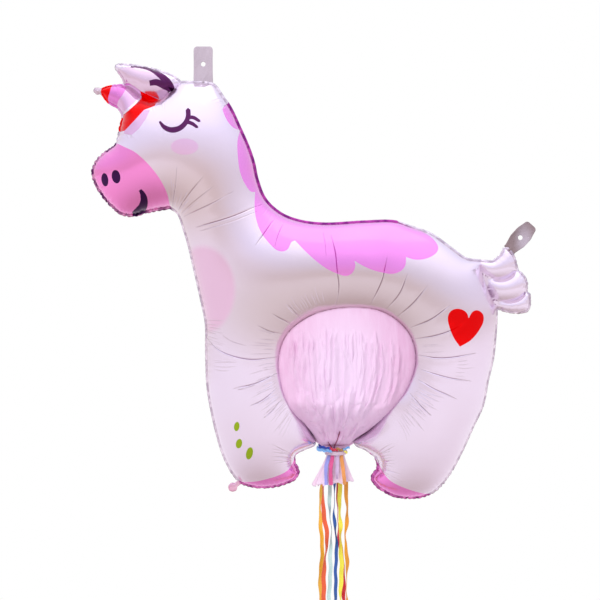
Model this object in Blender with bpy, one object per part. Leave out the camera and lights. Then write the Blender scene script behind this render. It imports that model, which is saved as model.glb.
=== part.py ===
"""Pull-string pinata made of a foil balloon: a standing pony with a film pouch in its belly.

Two heat-sealed foil panels hold the air. A pouch of thin film fills the hole in the belly, and its
neck is gathered by a tie with ribbons. Two punched tabs hang the pinata by its head and its tail.
X runs from the nose to the tail, the front panel faces -Y, and the origin is the hole of the head tab.
"""
import math

import bmesh
import bpy
import numpy as np
from mathutils import Vector
from mathutils.geometry import delaunay_2d_cdt

# ---- driving dimensions, in metres ----
FOIL_WALL = 0.0008          # wall that stands for the foil in this model
FILM_WALL = 0.0006          # wall that stands for the pouch's film
SEAM_GAP = 0.0003           # gap between two sealed layers
FLANGE = 0.005              # width of the heat-sealed edge
POUCH_LAP = 0.004           # how far the pouch's film reaches under the foil's edge
POUCH_INSET = 0.001         # the pouch starts to swell this far inside the belly hole
PANEL_SPACING = 0.026       # mesh spacing on the foil panels
DETAIL_SPACING = 0.012      # mesh spacing on the horn, ear and tail
POUCH_SPACING = 0.024       # mesh spacing on the pouch
PLUMPNESS = 0.96            # swell of the panels against a full round tube
POUCH_DEPTH = 0.042         # how far the pouch bulges to the front, and to the back
VALVE_WIDTH = 0.026
VALVE_WALL = 0.0005
RIBBON_WIDTH = 0.007
TAB_THICKNESS = 0.0009
TAB_HOLE_RADIUS = 0.004
TAB_CORNER = 0.006
NECK_X = 0.2245             # centre line of the gathered neck
NECK_TOP = -0.6540
TIE_TOP = -0.6570
TIE_BOTTOM = -0.6625
SKIRT_HEM = -0.7120
NECK_HALF = (0.0147, 0.0087)    # half width and half depth of the neck inside the tie
HEM_HALF = (0.0320, 0.0110)     # the same at the skirt's hem
TIE_WALL = 0.0018
TIE_CLEARANCE = 0.0004

# ---- the balloon's outline, as smooth runs that meet at its notches, in (x, z) ----
BACK = [
    (-0.038, -0.0285), (-0.020, -0.0285), (0.002, -0.0290), (0.018, -0.0325), (0.036, -0.0555), (0.048, -0.073),
    (0.064, -0.107), (0.079, -0.141), (0.088, -0.168), (0.0935, -0.194), (0.107, -0.228),
    (0.133, -0.252), (0.164, -0.264), (0.205, -0.269), (0.274, -0.2655), (0.324, -0.265),
    (0.353, -0.274), (0.388, -0.287), (0.426, -0.314), (0.446, -0.328), (0.467, -0.3315), (0.490, -0.3335),
]
TAIL_TOP_LOBE = [
    (0.490, -0.3335), (0.504, -0.322), (0.5085, -0.3125), (0.517, -0.3105), (0.527, -0.321),
    (0.5325, -0.334), (0.5355, -0.3485),
]
TAIL_MIDDLE_LOBE = [(0.5355, -0.3485), (0.5465, -0.359), (0.552, -0.372), (0.551, -0.3845)]
TAIL_LOW_LOBE = [
    (0.551, -0.3845), (0.5565, -0.392), (0.557, -0.406), (0.553, -0.420), (0.5415, -0.4245),
    (0.528, -0.425), (0.513, -0.4225), (0.5005, -0.418),
]
RUMP_AND_HIND_LEG = [
    (0.5005, -0.418), (0.499, -0.452), (0.494, -0.501), (0.485, -0.540), (0.477, -0.580), (0.461, -0.615),
    (0.441, -0.659), (0.425, -0.690), (0.409, -0.714), (0.386, -0.7325), (0.359, -0.7395),
    (0.329, -0.738), (0.305, -0.728), (0.289, -0.715), (0.2835, -0.702), (0.2935, -0.684), (0.290, -0.668),
    (0.275, -0.657), (0.2575, -0.6485), (0.2545, -0.641),
]
BELLY_HOLE = [
    (0.2545, -0.641), (0.278, -0.622), (0.310, -0.586), (0.340, -0.547), (0.3545, -0.500), (0.343, -0.456),
    (0.303, -0.4225), (0.244, -0.4145), (0.184, -0.427), (0.143, -0.459), (0.1295, -0.500),
    (0.137, -0.552), (0.152, -0.583), (0.174, -0.610), (0.1915, -0.640),
]
FRONT_LEG = [
    (0.1915, -0.640), (0.1895, -0.6485), (0.173, -0.656), (0.157, -0.665), (0.157, -0.676), (0.164, -0.692),
    (0.157, -0.7065), (0.138, -0.716), (0.117, -0.721), (0.096, -0.722), (0.078, -0.7195),
    (0.064, -0.7145), (0.055, -0.7070), (0.0475, -0.698),
    (0.031, -0.664), (0.0145, -0.604), (0.005, -0.550), (0.0025, -0.486), (0.002, -0.442),
    (-0.005, -0.406), (-0.019, -0.344), (-0.027, -0.310), (-0.035, -0.283), (-0.0455, -0.255), (-0.057, -0.247),
]
FACE = [
    (-0.057, -0.247), (-0.080, -0.251), (-0.100, -0.2555), (-0.119, -0.2605), (-0.141, -0.257), (-0.167, -0.234),
    (-0.184, -0.209), (-0.1915, -0.184), (-0.184, -0.163), (-0.166, -0.146), (-0.151, -0.135),
    (-0.147, -0.122), (-0.1445, -0.108), (-0.1405, -0.094), (-0.1405, -0.086), (-0.147, -0.0765),
    (-0.161, -0.0685), (-0.169, -0.060), (-0.1745, -0.0525), (-0.183, -0.0515), (-0.1875, -0.0455),
    (-0.1835, -0.0395), (-0.1745, -0.0405), (-0.1635, -0.0365), (-0.152, -0.0345), (-0.1375, -0.0335),
]
EAR = [
    (-0.1375, -0.0335), (-0.1385, -0.0265), (-0.1450, -0.0175), (-0.1515, -0.006), (-0.149, 0.000),
    (-0.136, 0.0015), (-0.112, -0.001), (-0.088, -0.0055), (-0.065, -0.0125), (-0.047, -0.0205), (-0.038, -0.0285),
]
LONG_STEP = 0.6 * PANEL_SPACING
SHORT_STEP = 0.8 * DETAIL_SPACING
OUTLINE_RUNS = [
    (BACK, LONG_STEP), (TAIL_TOP_LOBE, SHORT_STEP), (TAIL_MIDDLE_LOBE, SHORT_STEP),
    (TAIL_LOW_LOBE, SHORT_STEP), (RUMP_AND_HIND_LEG, LONG_STEP), (BELLY_HOLE, LONG_STEP),
    (FRONT_LEG, LONG_STEP), (FACE, SHORT_STEP), (EAR, SHORT_STEP),
]
DETAIL_ZONES = [((-0.110, -0.040), 0.075), ((0.515, -0.370), 0.062)]    # centre and radius

# ---- weld lines across the panels, where front and back foil are sealed together ----
WELD_LINES = {
    "tail root": [(0.470, -0.345), (0.473, -0.356), (0.481, -0.377), (0.491, -0.400), (0.4985, -0.414)],
    "tail upper": [(0.473, -0.356), (0.487, -0.3635), (0.502, -0.3665), (0.518, -0.3625), (0.531, -0.3515)],
    "tail lower": [(0.491, -0.400), (0.507, -0.4035), (0.523, -0.4030), (0.537, -0.398), (0.547, -0.388)],
    "horn and ear": [(-0.1335, -0.0375), (-0.1225, -0.0430), (-0.111, -0.0535), (-0.092, -0.064)],
    "ear root": [(-0.092, -0.064), (-0.075, -0.0615), (-0.062, -0.053), (-0.050, -0.0435), (-0.0415, -0.034)],
}

# ---- hanging tabs: middle of the base crease, direction, length, half widths, hole's distance from the base ----
HEAD_TAB = {
    "base": (-0.0005, -0.0270), "toward": (0.0, 1.0), "length": 0.0570, "base_half": 0.0200,
    "middle_half": 0.0165, "top_half": 0.0135, "hole_at": 0.0270,
}
TAIL_TAB = {
    "base": (0.5221, -0.3131), "toward": (0.58, 0.64), "length": 0.0540, "base_half": 0.0110,
    "middle_half": 0.0150, "top_half": 0.0115, "hole_at": 0.0245,
}
FILLER_BASE = (0.0578, -0.7132)
FILLER_TOWARD = (-0.80, -0.60)
FILLER_LENGTH = 0.0180
FILLER_HALF = (0.0085, 0.0018)
VALVE_LINE = [(0.0730, -0.6930), (0.0770, -0.6700), (0.0820, -0.6400), (0.0880, -0.5950)]

# ---- ribbons: colour, and the route's points (x, y, z) ----
SHORT_RIBBONS = {
    "lavender": [(0.2095, -0.0150, -0.656), (0.2085, -0.0156, -0.680), (0.2080, -0.0158, -0.700),
                 (0.2085, -0.0157, -0.7135)],
    "pink": [(0.2172, -0.0155, -0.656), (0.2165, -0.0160, -0.680), (0.2160, -0.0162, -0.700),
             (0.2165, -0.0160, -0.7140)],
    "lilac": [(0.2285, -0.0155, -0.656), (0.2275, -0.0160, -0.672), (0.2265, -0.0162, -0.690),
              (0.2265, -0.0161, -0.7040)],
    "peach": [(0.2375, -0.0150, -0.656), (0.2365, -0.0156, -0.672), (0.2375, -0.0158, -0.692),
              (0.2395, -0.0158, -0.7130)],
}
LONG_RIBBONS = {
    "red": [(0.2090, 0.0150, -0.656), (0.2060, 0.0158, -0.690), (0.2035, 0.0165, -0.725), (0.2045, 0.0170, -0.760),
            (0.2095, 0.0175, -0.800), (0.2075, 0.0170, -0.840), (0.2040, 0.0165, -0.885), (0.2065, 0.0165, -0.940),
            (0.2085, 0.0170, -0.995), (0.2060, 0.0165, -1.050), (0.2065, 0.0165, -1.098)],
    "mint": [(0.2168, 0.0152, -0.656), (0.2155, 0.0160, -0.690), (0.2150, 0.0168, -0.725), (0.2150, 0.0172, -0.765),
             (0.2170, 0.0170, -0.805), (0.2160, 0.0168, -0.850), (0.2145, 0.0170, -0.900), (0.2150, 0.0168, -0.955),
             (0.2160, 0.0165, -1.010), (0.2150, 0.0165, -1.060), (0.2150, 0.0165, -1.104)],
    "blue": [(0.2245, 0.0154, -0.656), (0.2235, 0.0162, -0.690), (0.2232, 0.0170, -0.725), (0.2224, 0.0175, -0.760),
             (0.2250, 0.0178, -0.800), (0.2262, 0.0172, -0.845), (0.2245, 0.0168, -0.895), (0.2235, 0.0170, -0.950),
             (0.2245, 0.0168, -1.000), (0.2240, 0.0165, -1.045), (0.2240, 0.0165, -1.085)],
    "yellow": [(0.2322, 0.0152, -0.656), (0.2325, 0.0160, -0.690), (0.2325, 0.0168, -0.725), (0.2320, 0.0172, -0.765),
               (0.2335, 0.0170, -0.810), (0.2345, 0.0168, -0.855), (0.2340, 0.0170, -0.905), (0.2320, 0.0168, -0.960),
               (0.2325, 0.0165, -1.015), (0.2335, 0.0165, -1.065), (0.2335, 0.0165, -1.108)],
    "orange": [(0.2400, 0.0150, -0.656), (0.2420, 0.0158, -0.690), (0.2430, 0.0165, -0.725), (0.2440, 0.0172, -0.765),
               (0.2425, 0.0170, -0.810), (0.2440, 0.0168, -0.855), (0.2435, 0.0172, -0.905), (0.2420, 0.0170, -0.960),
               (0.2430, 0.0165, -1.010), (0.2445, 0.0165, -1.055), (0.2440, 0.0165, -1.092)],
    "amber": [(0.2125, 0.0245, -0.656), (0.2080, 0.0250, -0.690), (0.2010, 0.0256, -0.730), (0.1985, 0.0260, -0.775),
              (0.2025, 0.0262, -0.820), (0.1995, 0.0258, -0.865), (0.2005, 0.0255, -0.915), (0.2040, 0.0255, -0.970),
              (0.2015, 0.0255, -1.020), (0.2005, 0.0255, -1.078)],
    "scarlet": [(0.2330, 0.0245, -0.656), (0.2310, 0.0250, -0.690), (0.2295, 0.0256, -0.735), (0.2290, 0.0260, -0.785),
                (0.2340, 0.0262, -0.825), (0.2385, 0.0260, -0.865), (0.2395, 0.0256, -0.915), (0.2375, 0.0255, -0.970),
                (0.2385, 0.0255, -1.020), (0.2395, 0.0255, -1.070)],
}
RIBBON_STEP = 0.018         # distance between the points of a ribbon's tube

COLOURS = {
    "foil": (0.84, 0.76, 0.86), "tab": (0.66, 0.58, 0.68), "film": (0.86, 0.60, 0.80),
    "valve": (0.80, 0.82, 0.86), "hoof": (0.80, 0.20, 0.62), "tie": (0.90, 0.78, 0.88),
    "lavender": (0.36, 0.36, 0.80), "pink": (0.80, 0.12, 0.32), "lilac": (0.70, 0.46, 0.76),
    "peach": (0.92, 0.46, 0.18), "red": (0.86, 0.14, 0.06), "mint": (0.56, 0.78, 0.70),
    "blue": (0.06, 0.20, 0.62), "yellow": (0.92, 0.82, 0.08), "orange": (0.90, 0.40, 0.03),
    "amber": (0.94, 0.56, 0.05), "scarlet": (0.80, 0.05, 0.08),
}


# ---- materials ----
def material(name, roughness, metallic=0.0, alpha=1.0):
    """A Principled material in one of COLOURS."""
    made = bpy.data.materials.get(name) or bpy.data.materials.new(name)
    made.use_nodes = True
    shader = made.node_tree.nodes["Principled BSDF"]
    shader.inputs["Base Color"].default_value = (*COLOURS[name], 1.0)
    shader.inputs["Roughness"].default_value = roughness
    shader.inputs["Metallic"].default_value = metallic
    shader.inputs["Alpha"].default_value = alpha
    made.diffuse_color = (*COLOURS[name], alpha)
    return made


# ---- plane curves ----
def spline(knots, step, smooth_ends=True):
    """Points at even spacing along a centripetal Catmull-Rom curve through the knots."""
    knots = np.array(knots, float)
    first = 2 * knots[0] - knots[1]
    last = 2 * knots[-1] - knots[-2]
    padded = np.vstack([first, knots, last]) if smooth_ends else knots
    dense = []
    for p0, p1, p2, p3 in zip(padded, padded[1:], padded[2:], padded[3:]):
        t0 = 0.0
        t1 = t0 + math.sqrt(np.linalg.norm(p1 - p0))
        t2 = t1 + math.sqrt(np.linalg.norm(p2 - p1))
        t3 = t2 + math.sqrt(np.linalg.norm(p3 - p2))
        for t in np.linspace(t1, t2, 12, endpoint=False):
            a1 = (t1 - t) / (t1 - t0) * p0 + (t - t0) / (t1 - t0) * p1
            a2 = (t2 - t) / (t2 - t1) * p1 + (t - t1) / (t2 - t1) * p2
            a3 = (t3 - t) / (t3 - t2) * p2 + (t - t2) / (t3 - t2) * p3
            b1 = (t2 - t) / (t2 - t0) * a1 + (t - t0) / (t2 - t0) * a2
            b2 = (t3 - t) / (t3 - t1) * a2 + (t - t1) / (t3 - t1) * a3
            dense.append((t2 - t) / (t2 - t1) * b1 + (t - t1) / (t2 - t1) * b2)
    dense.append(knots[-1])
    dense = np.array(dense)
    run = np.concatenate([[0.0], np.cumsum(np.linalg.norm(np.diff(dense, axis=0), axis=1))])
    count = max(2, round(run[-1] / step) + 1)
    places = np.linspace(0.0, run[-1], count)
    return np.stack([np.interp(places, run, dense[:, k]) for k in range(dense.shape[1])], axis=1)


def balloon_outline():
    """The closed outline of a foil panel."""
    return np.vstack([spline(run, step)[:-1] for run, step in OUTLINE_RUNS])


def distance_to_loop(points, loop):
    """Distance from each point to a closed polyline."""
    start, end = loop, np.roll(loop, -1, axis=0)
    along = end - start
    to_point = points[:, None, :] - start[None, :, :]
    share = np.clip((to_point * along).sum(2) / np.maximum((along**2).sum(1), 1e-12), 0.0, 1.0)
    return np.linalg.norm(to_point - share[:, :, None] * along, axis=2).min(1)


def inside(points, loop):
    """Which points lie inside a closed polyline."""
    x, z = points[:, 0][:, None], points[:, 1][:, None]
    x0, z0 = loop[:, 0], loop[:, 1]
    x1, z1 = np.roll(x0, -1), np.roll(z0, -1)
    crosses = (z0 > z) != (z1 > z)
    rise = np.where(z1 == z0, 1e-12, z1 - z0)
    at = x0 + (z - z0) / rise * (x1 - x0)
    return (crosses & (x < at)).sum(1) % 2 == 1


def offset_loop(loop, distance):
    """The loop moved inwards (or outwards, if distance is negative), without the knots at its tips."""
    along = np.roll(loop, -1, axis=0) - np.roll(loop, 1, axis=0)
    normal = np.stack([along[:, 1], -along[:, 0]], axis=1)
    normal /= np.linalg.norm(normal, axis=1)[:, None]
    if not inside(loop[:1] + normal[:1] * 0.0005, loop)[0]:
        normal = -normal
    moved = loop + distance * normal
    return moved[distance_to_loop(moved, loop) > 0.93 * abs(distance)]


def thin_out(loop, step):
    """A closed polyline without points closer together than a share of the step."""
    kept = [loop[0]]
    for point in loop[1:]:
        if np.linalg.norm(point - kept[-1]) > 0.45 * step:
            kept.append(point)
    return np.array(kept)


def hexagonal_points(low, high, spacing):
    """Rows of points, each shifted by half a step against the next."""
    rows = np.arange(low[1], high[1], spacing * math.sqrt(3) / 2)
    points = [(x + 0.5 * spacing * (i % 2), z) for i, z in enumerate(rows)
              for x in np.arange(low[0], high[0], spacing)]
    return np.array(points)


def panel_grid(seam, welds):
    """Loose points between the seams: close together on the horn, ear and tail, wide apart elsewhere."""
    low, high = seam.min(0), seam.max(0)
    groups = []
    for spacing, in_zone in ((PANEL_SPACING, False), (DETAIL_SPACING, True)):
        points = hexagonal_points(low, high, spacing)
        reach = np.min([np.linalg.norm(points - np.array(c), axis=1) / r for c, r in DETAIL_ZONES], axis=0)
        points = points[(reach < 1.0) == in_zone]
        points = points[inside(points, seam)]
        points = points[distance_to_loop(points, seam) > 0.45 * spacing]
        to_welds = np.linalg.norm(points[:, None] - welds[None], axis=2).min(1)
        groups.append(points[to_welds > 0.45 * spacing])
    return np.vstack(groups)


def triangulate(loops, lines, extra, keep_inside):
    """Delaunay triangles over closed loops, open lines and loose points, inside the loop keep_inside."""
    points, edges = [], []
    for closed, group in ((True, loops), (False, lines)):
        for path in group:
            first = len(points)
            points.extend(path)
            edges += [(first + i, first + i + 1) for i in range(len(path) - 1)]
            if closed:
                edges.append((first + len(path) - 1, first))
    points.extend(extra)
    made = delaunay_2d_cdt([Vector(p) for p in points], edges, [], 0, 1e-6, False)
    flat = np.array([tuple(v) for v in made[0]])
    faces = np.array([f for f in made[2] if len(f) == 3])
    kept = inside(flat[faces].mean(axis=1), keep_inside)
    return flat, faces[kept]


# ---- the swell of a sealed pair of sheets ----
def swell(flat, faces, held):
    """Height of a sheet that is held at zero along its seams and swells evenly between them."""
    count = len(flat)
    stiffness = np.zeros((count, count))
    load = np.zeros(count)
    for face in faces:
        corners = flat[face]
        sides = corners[[2, 0, 1]] - corners[[1, 2, 0]]
        area = 0.5 * abs(sides[0, 0] * sides[1, 1] - sides[0, 1] * sides[1, 0])
        if area < 1e-12:
            continue
        stiffness[np.ix_(face, face)] += sides @ sides.T / (4 * area)
        load[face] += area / 3
    free = np.setdiff1d(np.unique(faces), np.flatnonzero(held))
    potential = np.zeros(count)
    potential[free] = np.linalg.solve(stiffness[np.ix_(free, free)], load[free])
    return np.sqrt(2 * np.maximum(potential, 0.0))


def sheet_object(name, flat, faces, depth, side, wall, look):
    """A sheet at depth before (side -1) or behind (side 1) the middle plane, as a solid of the given wall."""
    used = np.unique(faces)
    renumber = {int(old): new for new, old in enumerate(used)}
    corners = [(float(flat[i, 0]), float(side * depth[i]), float(flat[i, 1])) for i in used]
    turned = [[renumber[int(i)] for i in face] for face in faces]
    mesh = bpy.data.meshes.new(name)
    mesh.from_pydata(corners, [], turned)
    mesh.update()
    if mesh.polygons[0].normal.y * side < 0:
        mesh.flip_normals()
    mesh.shade_smooth()
    mesh.materials.append(look)
    made = bpy.data.objects.new(name, mesh)
    bpy.context.collection.objects.link(made)
    solid = made.modifiers.new("wall", "SOLIDIFY")
    solid.thickness = wall
    solid.offset = -1.0
    return made


def consistent(flat, faces):
    """The same triangles, all turning the same way in the plane."""
    a, b, c = (flat[faces[:, k]] for k in range(3))
    turn = (b[:, 0] - a[:, 0]) * (c[:, 1] - a[:, 1]) - (b[:, 1] - a[:, 1]) * (c[:, 0] - a[:, 0])
    return np.where((turn < 0)[:, None], faces[:, ::-1], faces)


# ---- the foil panels ----
def foil_panels():
    """The two foil panels, swollen between the edge seam, the belly hole's seam and the weld lines."""
    outline = balloon_outline()
    seam = thin_out(offset_loop(outline, FLANGE), SHORT_STEP)
    welds = [spline(line, SHORT_STEP) for line in WELD_LINES.values()]
    on_welds = np.vstack(welds)
    flat, faces = triangulate([outline, seam], welds, panel_grid(seam, on_welds), outline)
    faces = consistent(flat, faces)
    held = distance_to_loop(flat, seam) < 1e-5
    held |= ~inside(flat, seam)
    held |= np.linalg.norm(flat[:, None] - on_welds[None], axis=2).min(1) < 1e-5
    hole = spline(BELLY_HOLE, 0.010)
    to_hole = np.linalg.norm(flat[:, None] - hole[None], axis=2).min(1)
    lap_room = (FILM_WALL + 2 * SEAM_GAP) * np.exp(-((to_hole / 0.030) ** 2))
    depth = PLUMPNESS * swell(flat, faces, held) + 0.5 * SEAM_GAP + FOIL_WALL + lap_room
    foil = material("foil", 0.18, 0.55)
    for name, side in (("front_foil_panel", -1), ("back_foil_panel", 1)):
        sheet_object(name, flat, faces, depth, side, FOIL_WALL, foil)


# ---- the pouch ----
def pouch_films():
    """The two films of the belly pouch, open at the neck."""
    step = 0.6 * POUCH_SPACING
    hole = spline(BELLY_HOLE, step)
    neck_right = [(NECK_X + NECK_HALF[0] + 0.0012, NECK_TOP), (0.2490, -0.6475)]
    neck_left = [(0.1985, -0.6475), (NECK_X - NECK_HALF[0] - 0.0012, NECK_TOP)]
    belly = np.vstack([neck_right, hole[1:-1], neck_left])
    seam = offset_loop(belly, POUCH_INSET)
    seam = np.vstack([neck_right[:1], seam[(seam[:, 1] > NECK_TOP + 0.003)], neck_left[-1:]])
    outer_hole = offset_loop(belly, -POUCH_LAP)
    outer = outer_hole[outer_hole[:, 1] > NECK_TOP + 0.009]
    outer = np.vstack([neck_right[:1], outer, neck_left[-1:]])
    grid = hexagonal_points(seam.min(0), seam.max(0), POUCH_SPACING)
    grid = grid[inside(grid, seam)]
    grid = grid[distance_to_loop(grid, seam) > 0.45 * POUCH_SPACING]
    mouth = [np.array([neck_left[-1], (NECK_X, NECK_TOP), neck_right[0]])]
    flat, faces = triangulate([outer], [seam] + mouth, grid, outer)
    faces = consistent(flat, faces)
    in_mouth = (np.abs(flat[:, 1] - NECK_TOP) < 1e-5) & (np.abs(flat[:, 0] - NECK_X) < NECK_HALF[0])
    held = ((distance_to_loop(flat, seam) < 1e-5) | ~inside(flat, seam)) & ~in_mouth
    rise = swell(flat, faces, held)
    depth = POUCH_DEPTH * rise / rise.max() + 0.5 * SEAM_GAP + FILM_WALL
    depth[in_mouth] = NECK_HALF[1] + FILM_WALL
    film = material("film", 0.35, 0.0, 0.8)
    for name, side in (("pouch_front_film", -1), ("pouch_back_film", 1)):
        sheet_object(name, flat, faces, depth, side, FILM_WALL, film)


# ---- turned and lofted pieces ----
def oval(half_width, half_depth, height, count):
    """A ring of points round the neck's centre line."""
    turns = [2 * math.pi * i / count for i in range(count)]
    return [(NECK_X + half_width * math.cos(t), half_depth * math.sin(t), height) for t in turns]


def tube_object(name, rings, look):
    """A closed loft through rings of points: the last ring joins the first, so the body is a tube wall."""
    count = len(rings[0])
    corners = [point for ring in rings for point in ring]
    faces = []
    for r in range(len(rings)):
        after = (r + 1) % len(rings)
        for i in range(count):
            j = (i + 1) % count
            faces.append((r * count + i, r * count + j, after * count + j, after * count + i))
    mesh = bpy.data.meshes.new(name)
    mesh.from_pydata(corners, [], faces)
    turned = bmesh.new()
    turned.from_mesh(mesh)
    bmesh.ops.recalc_face_normals(turned, faces=turned.faces)
    turned.to_mesh(mesh)
    turned.free()
    mesh.shade_smooth()
    mesh.set_sharp_from_angle(angle=math.radians(40))
    mesh.materials.append(look)
    made = bpy.data.objects.new(name, mesh)
    bpy.context.collection.objects.link(made)
    return made


def pouch_skirt():
    """The gathered neck of the pouch and the loose skirt under the tie, as one open tube."""
    profile = [(NECK_TOP - SEAM_GAP, 1.02), (TIE_TOP + 0.0006, 1.0), (TIE_BOTTOM - 0.0006, 1.0)]
    outer = [oval(NECK_HALF[0] * k, NECK_HALF[1] * k, z, 20) for z, k in profile]
    for share in (0.30, 0.65, 1.0):
        width = NECK_HALF[0] + (HEM_HALF[0] - NECK_HALF[0]) * share**1.1
        depth = NECK_HALF[1] + (HEM_HALF[1] - NECK_HALF[1]) * share
        outer.append(oval(width, depth, TIE_BOTTOM - 0.0006 + share * (SKIRT_HEM - TIE_BOTTOM + 0.0006), 20))
    inner = []
    for ring in reversed(outer):
        half_width = ring[0][0] - NECK_X - FILM_WALL
        half_depth = ring[5][1] - FILM_WALL
        inner.append(oval(half_width, half_depth, ring[0][2], 20))
    return tube_object("pouch_skirt", inner + outer, material("film", 0.35, 0.0, 0.8))


def neck_tie_band():
    """The tie, a flat band drawn round the neck."""
    inner = tuple(h + TIE_CLEARANCE for h in NECK_HALF)
    outer = tuple(h + TIE_WALL for h in inner)
    rings = [oval(*inner, TIE_BOTTOM, 20), oval(*inner, TIE_TOP, 20),
             oval(*outer, TIE_TOP, 20), oval(*outer, TIE_BOTTOM, 20)]
    return tube_object("neck_tie_band", rings, material("tie", 0.3))


# ---- tabs, filler neck and valve ----
def plate_object(name, loop, holes, thickness, look, origin):
    """A flat plate in the XZ plane with round holes, its origin moved to the crease it folds about."""
    flat, faces = triangulate([loop, *holes], [], [], loop)
    middle = flat[faces].mean(axis=1)
    for hole in holes:
        outside_hole = ~inside(middle, hole)
        faces, middle = faces[outside_hole], middle[outside_hole]
    faces = consistent(flat, faces)
    shift = np.array(origin)
    half = np.full(len(flat), 0.5 * thickness)
    made = sheet_object(name, flat - shift, faces, half, -1, thickness, look)
    made.location = (origin[0], 0.0, origin[1])
    return made


def tab_frame(tab):
    """The tab's base point, its unit direction and the unit direction across it."""
    along = np.array(tab["toward"], float)
    along /= np.linalg.norm(along)
    return np.array(tab["base"]), along, np.array([along[1], -along[0]])


def hang_tab(name, tab):
    """A hanging tab: wide at its base, round at the top corners, with a punched hole."""
    base, along, across = tab_frame(tab)
    lift = 0.0006
    top = tab["length"]
    right = [(tab["base_half"], lift), (tab["middle_half"], 0.30 * top), (tab["middle_half"], 0.62 * top)]
    corner = tab["top_half"] - TAB_CORNER
    for turn in np.linspace(0.0, 0.5 * math.pi, 5):
        reach = TAB_CORNER * np.array([math.cos(turn), math.sin(turn)])
        right.append((corner + reach[0], top - TAB_CORNER + reach[1]))
    local = right + [(-u, v) for u, v in reversed(right)]
    loop = np.array([base + u * across + v * along for u, v in local])
    centre = base + tab["hole_at"] * along
    turns = [2 * math.pi * i / 16 for i in range(16)]
    hole = np.array([centre + TAB_HOLE_RADIUS * np.array([math.cos(t), math.sin(t)]) for t in turns])
    return plate_object(name, loop, [hole], TAB_THICKNESS, material("tab", 0.35), base)


def filler_neck():
    """The flat open neck at the front foot, through which the balloon is blown up."""
    along = Vector((FILLER_TOWARD[0], 0.0, FILLER_TOWARD[1])).normalized()
    across = Vector((along.z, 0.0, -along.x))
    wall = FOIL_WALL
    rings = []
    outer_path = [(0.0006, 1.0), (0.5 * FILLER_LENGTH, 0.92), (FILLER_LENGTH, 0.98)]
    for inset, path in ((0.0, outer_path), (wall, outer_path[::-1])):
        for reach, share in path:
            ring = []
            for i in range(16):
                turn = 2 * math.pi * i / 16
                wide = (share * FILLER_HALF[0] - inset) * math.cos(turn)
                deep = (FILLER_HALF[1] - inset) * math.sin(turn)
                ring.append(tuple(along * reach + across * wide + Vector((0.0, deep, 0.0))))
            rings.append(ring)
    made = tube_object("filler_neck", rings, material("hoof", 0.25, 0.4))
    made.location = (FILLER_BASE[0], 0.0, FILLER_BASE[1])
    return made


def valve_films():
    """The two films of the flat self-sealing valve inside the front leg."""
    line = spline(VALVE_LINE, 0.020)
    along = np.gradient(line, axis=0)
    along /= np.linalg.norm(along, axis=1)[:, None]
    across = np.stack([along[:, 1], -along[:, 0]], axis=1) * 0.5 * VALVE_WIDTH
    flat = np.vstack([line - across, line + across])
    count = len(line)
    faces = []
    for i in range(count - 1):
        faces += [(i, i + 1, count + i + 1), (i, count + i + 1, count + i)]
    faces = consistent(flat, np.array(faces))
    depth = np.full(len(flat), 0.5 * SEAM_GAP + VALVE_WALL)
    look = material("valve", 0.3, 0.0, 0.6)
    for name, side in (("valve_front_film", -1), ("valve_back_film", 1)):
        sheet_object(name, flat, faces, depth, side, VALVE_WALL, look)


# ---- ribbons ----
def ribbon(name, colour, route):
    """A ribbon as a tube of the ribbon's width along its route."""
    curve = bpy.data.curves.new(name, "CURVE")
    curve.dimensions = "3D"
    curve.bevel_depth = 0.5 * RIBBON_WIDTH
    curve.bevel_resolution = 2
    curve.use_fill_caps = True
    places = spline(route, RIBBON_STEP)
    line = curve.splines.new("POLY")
    line.points.add(len(places) - 1)
    for point, place in zip(line.points, places):
        point.co = (*place, 1.0)
    curve.materials.append(material(colour, 0.3))
    made = bpy.data.objects.new(name, curve)
    bpy.context.collection.objects.link(made)
    return made


def pull_assembly():
    """Tie, skirt and ribbons, which come away together, under an empty at the tie."""
    handle = bpy.data.objects.new("pull_axis", None)
    handle.location = (NECK_X, 0.0, TIE_TOP)
    bpy.context.collection.objects.link(handle)
    parts = [neck_tie_band(), pouch_skirt()]
    parts += [ribbon(f"{colour}_ribbon_short", colour, route) for colour, route in SHORT_RIBBONS.items()]
    parts += [ribbon(f"{colour}_ribbon", colour, route) for colour, route in LONG_RIBBONS.items()]
    bpy.context.view_layer.update()
    for piece in parts:
        piece.parent = handle
        piece.matrix_parent_inverse = handle.matrix_world.inverted()


def main():
    for item in list(bpy.data.objects):
        bpy.data.objects.remove(item, do_unlink=True)
    foil_panels()
    pouch_films()
    hang_tab("head_hang_tab", HEAD_TAB)
    hang_tab("tail_hang_tab", TAIL_TAB)
    filler_neck()
    valve_films()
    pull_assembly()


main()
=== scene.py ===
"""Looks of the pull-string foil balloon pinata: foil panels, film pouch, tabs, tie and ribbons.

Everything is in metres in the part's frame: X from the nose to the tail, the front panel faces -Y,
and the origin is the hole of the head tab.
"""
import math

import bmesh
import bpy
import numpy as np
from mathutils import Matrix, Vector
from mathutils.geometry import delaunay_2d_cdt


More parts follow.
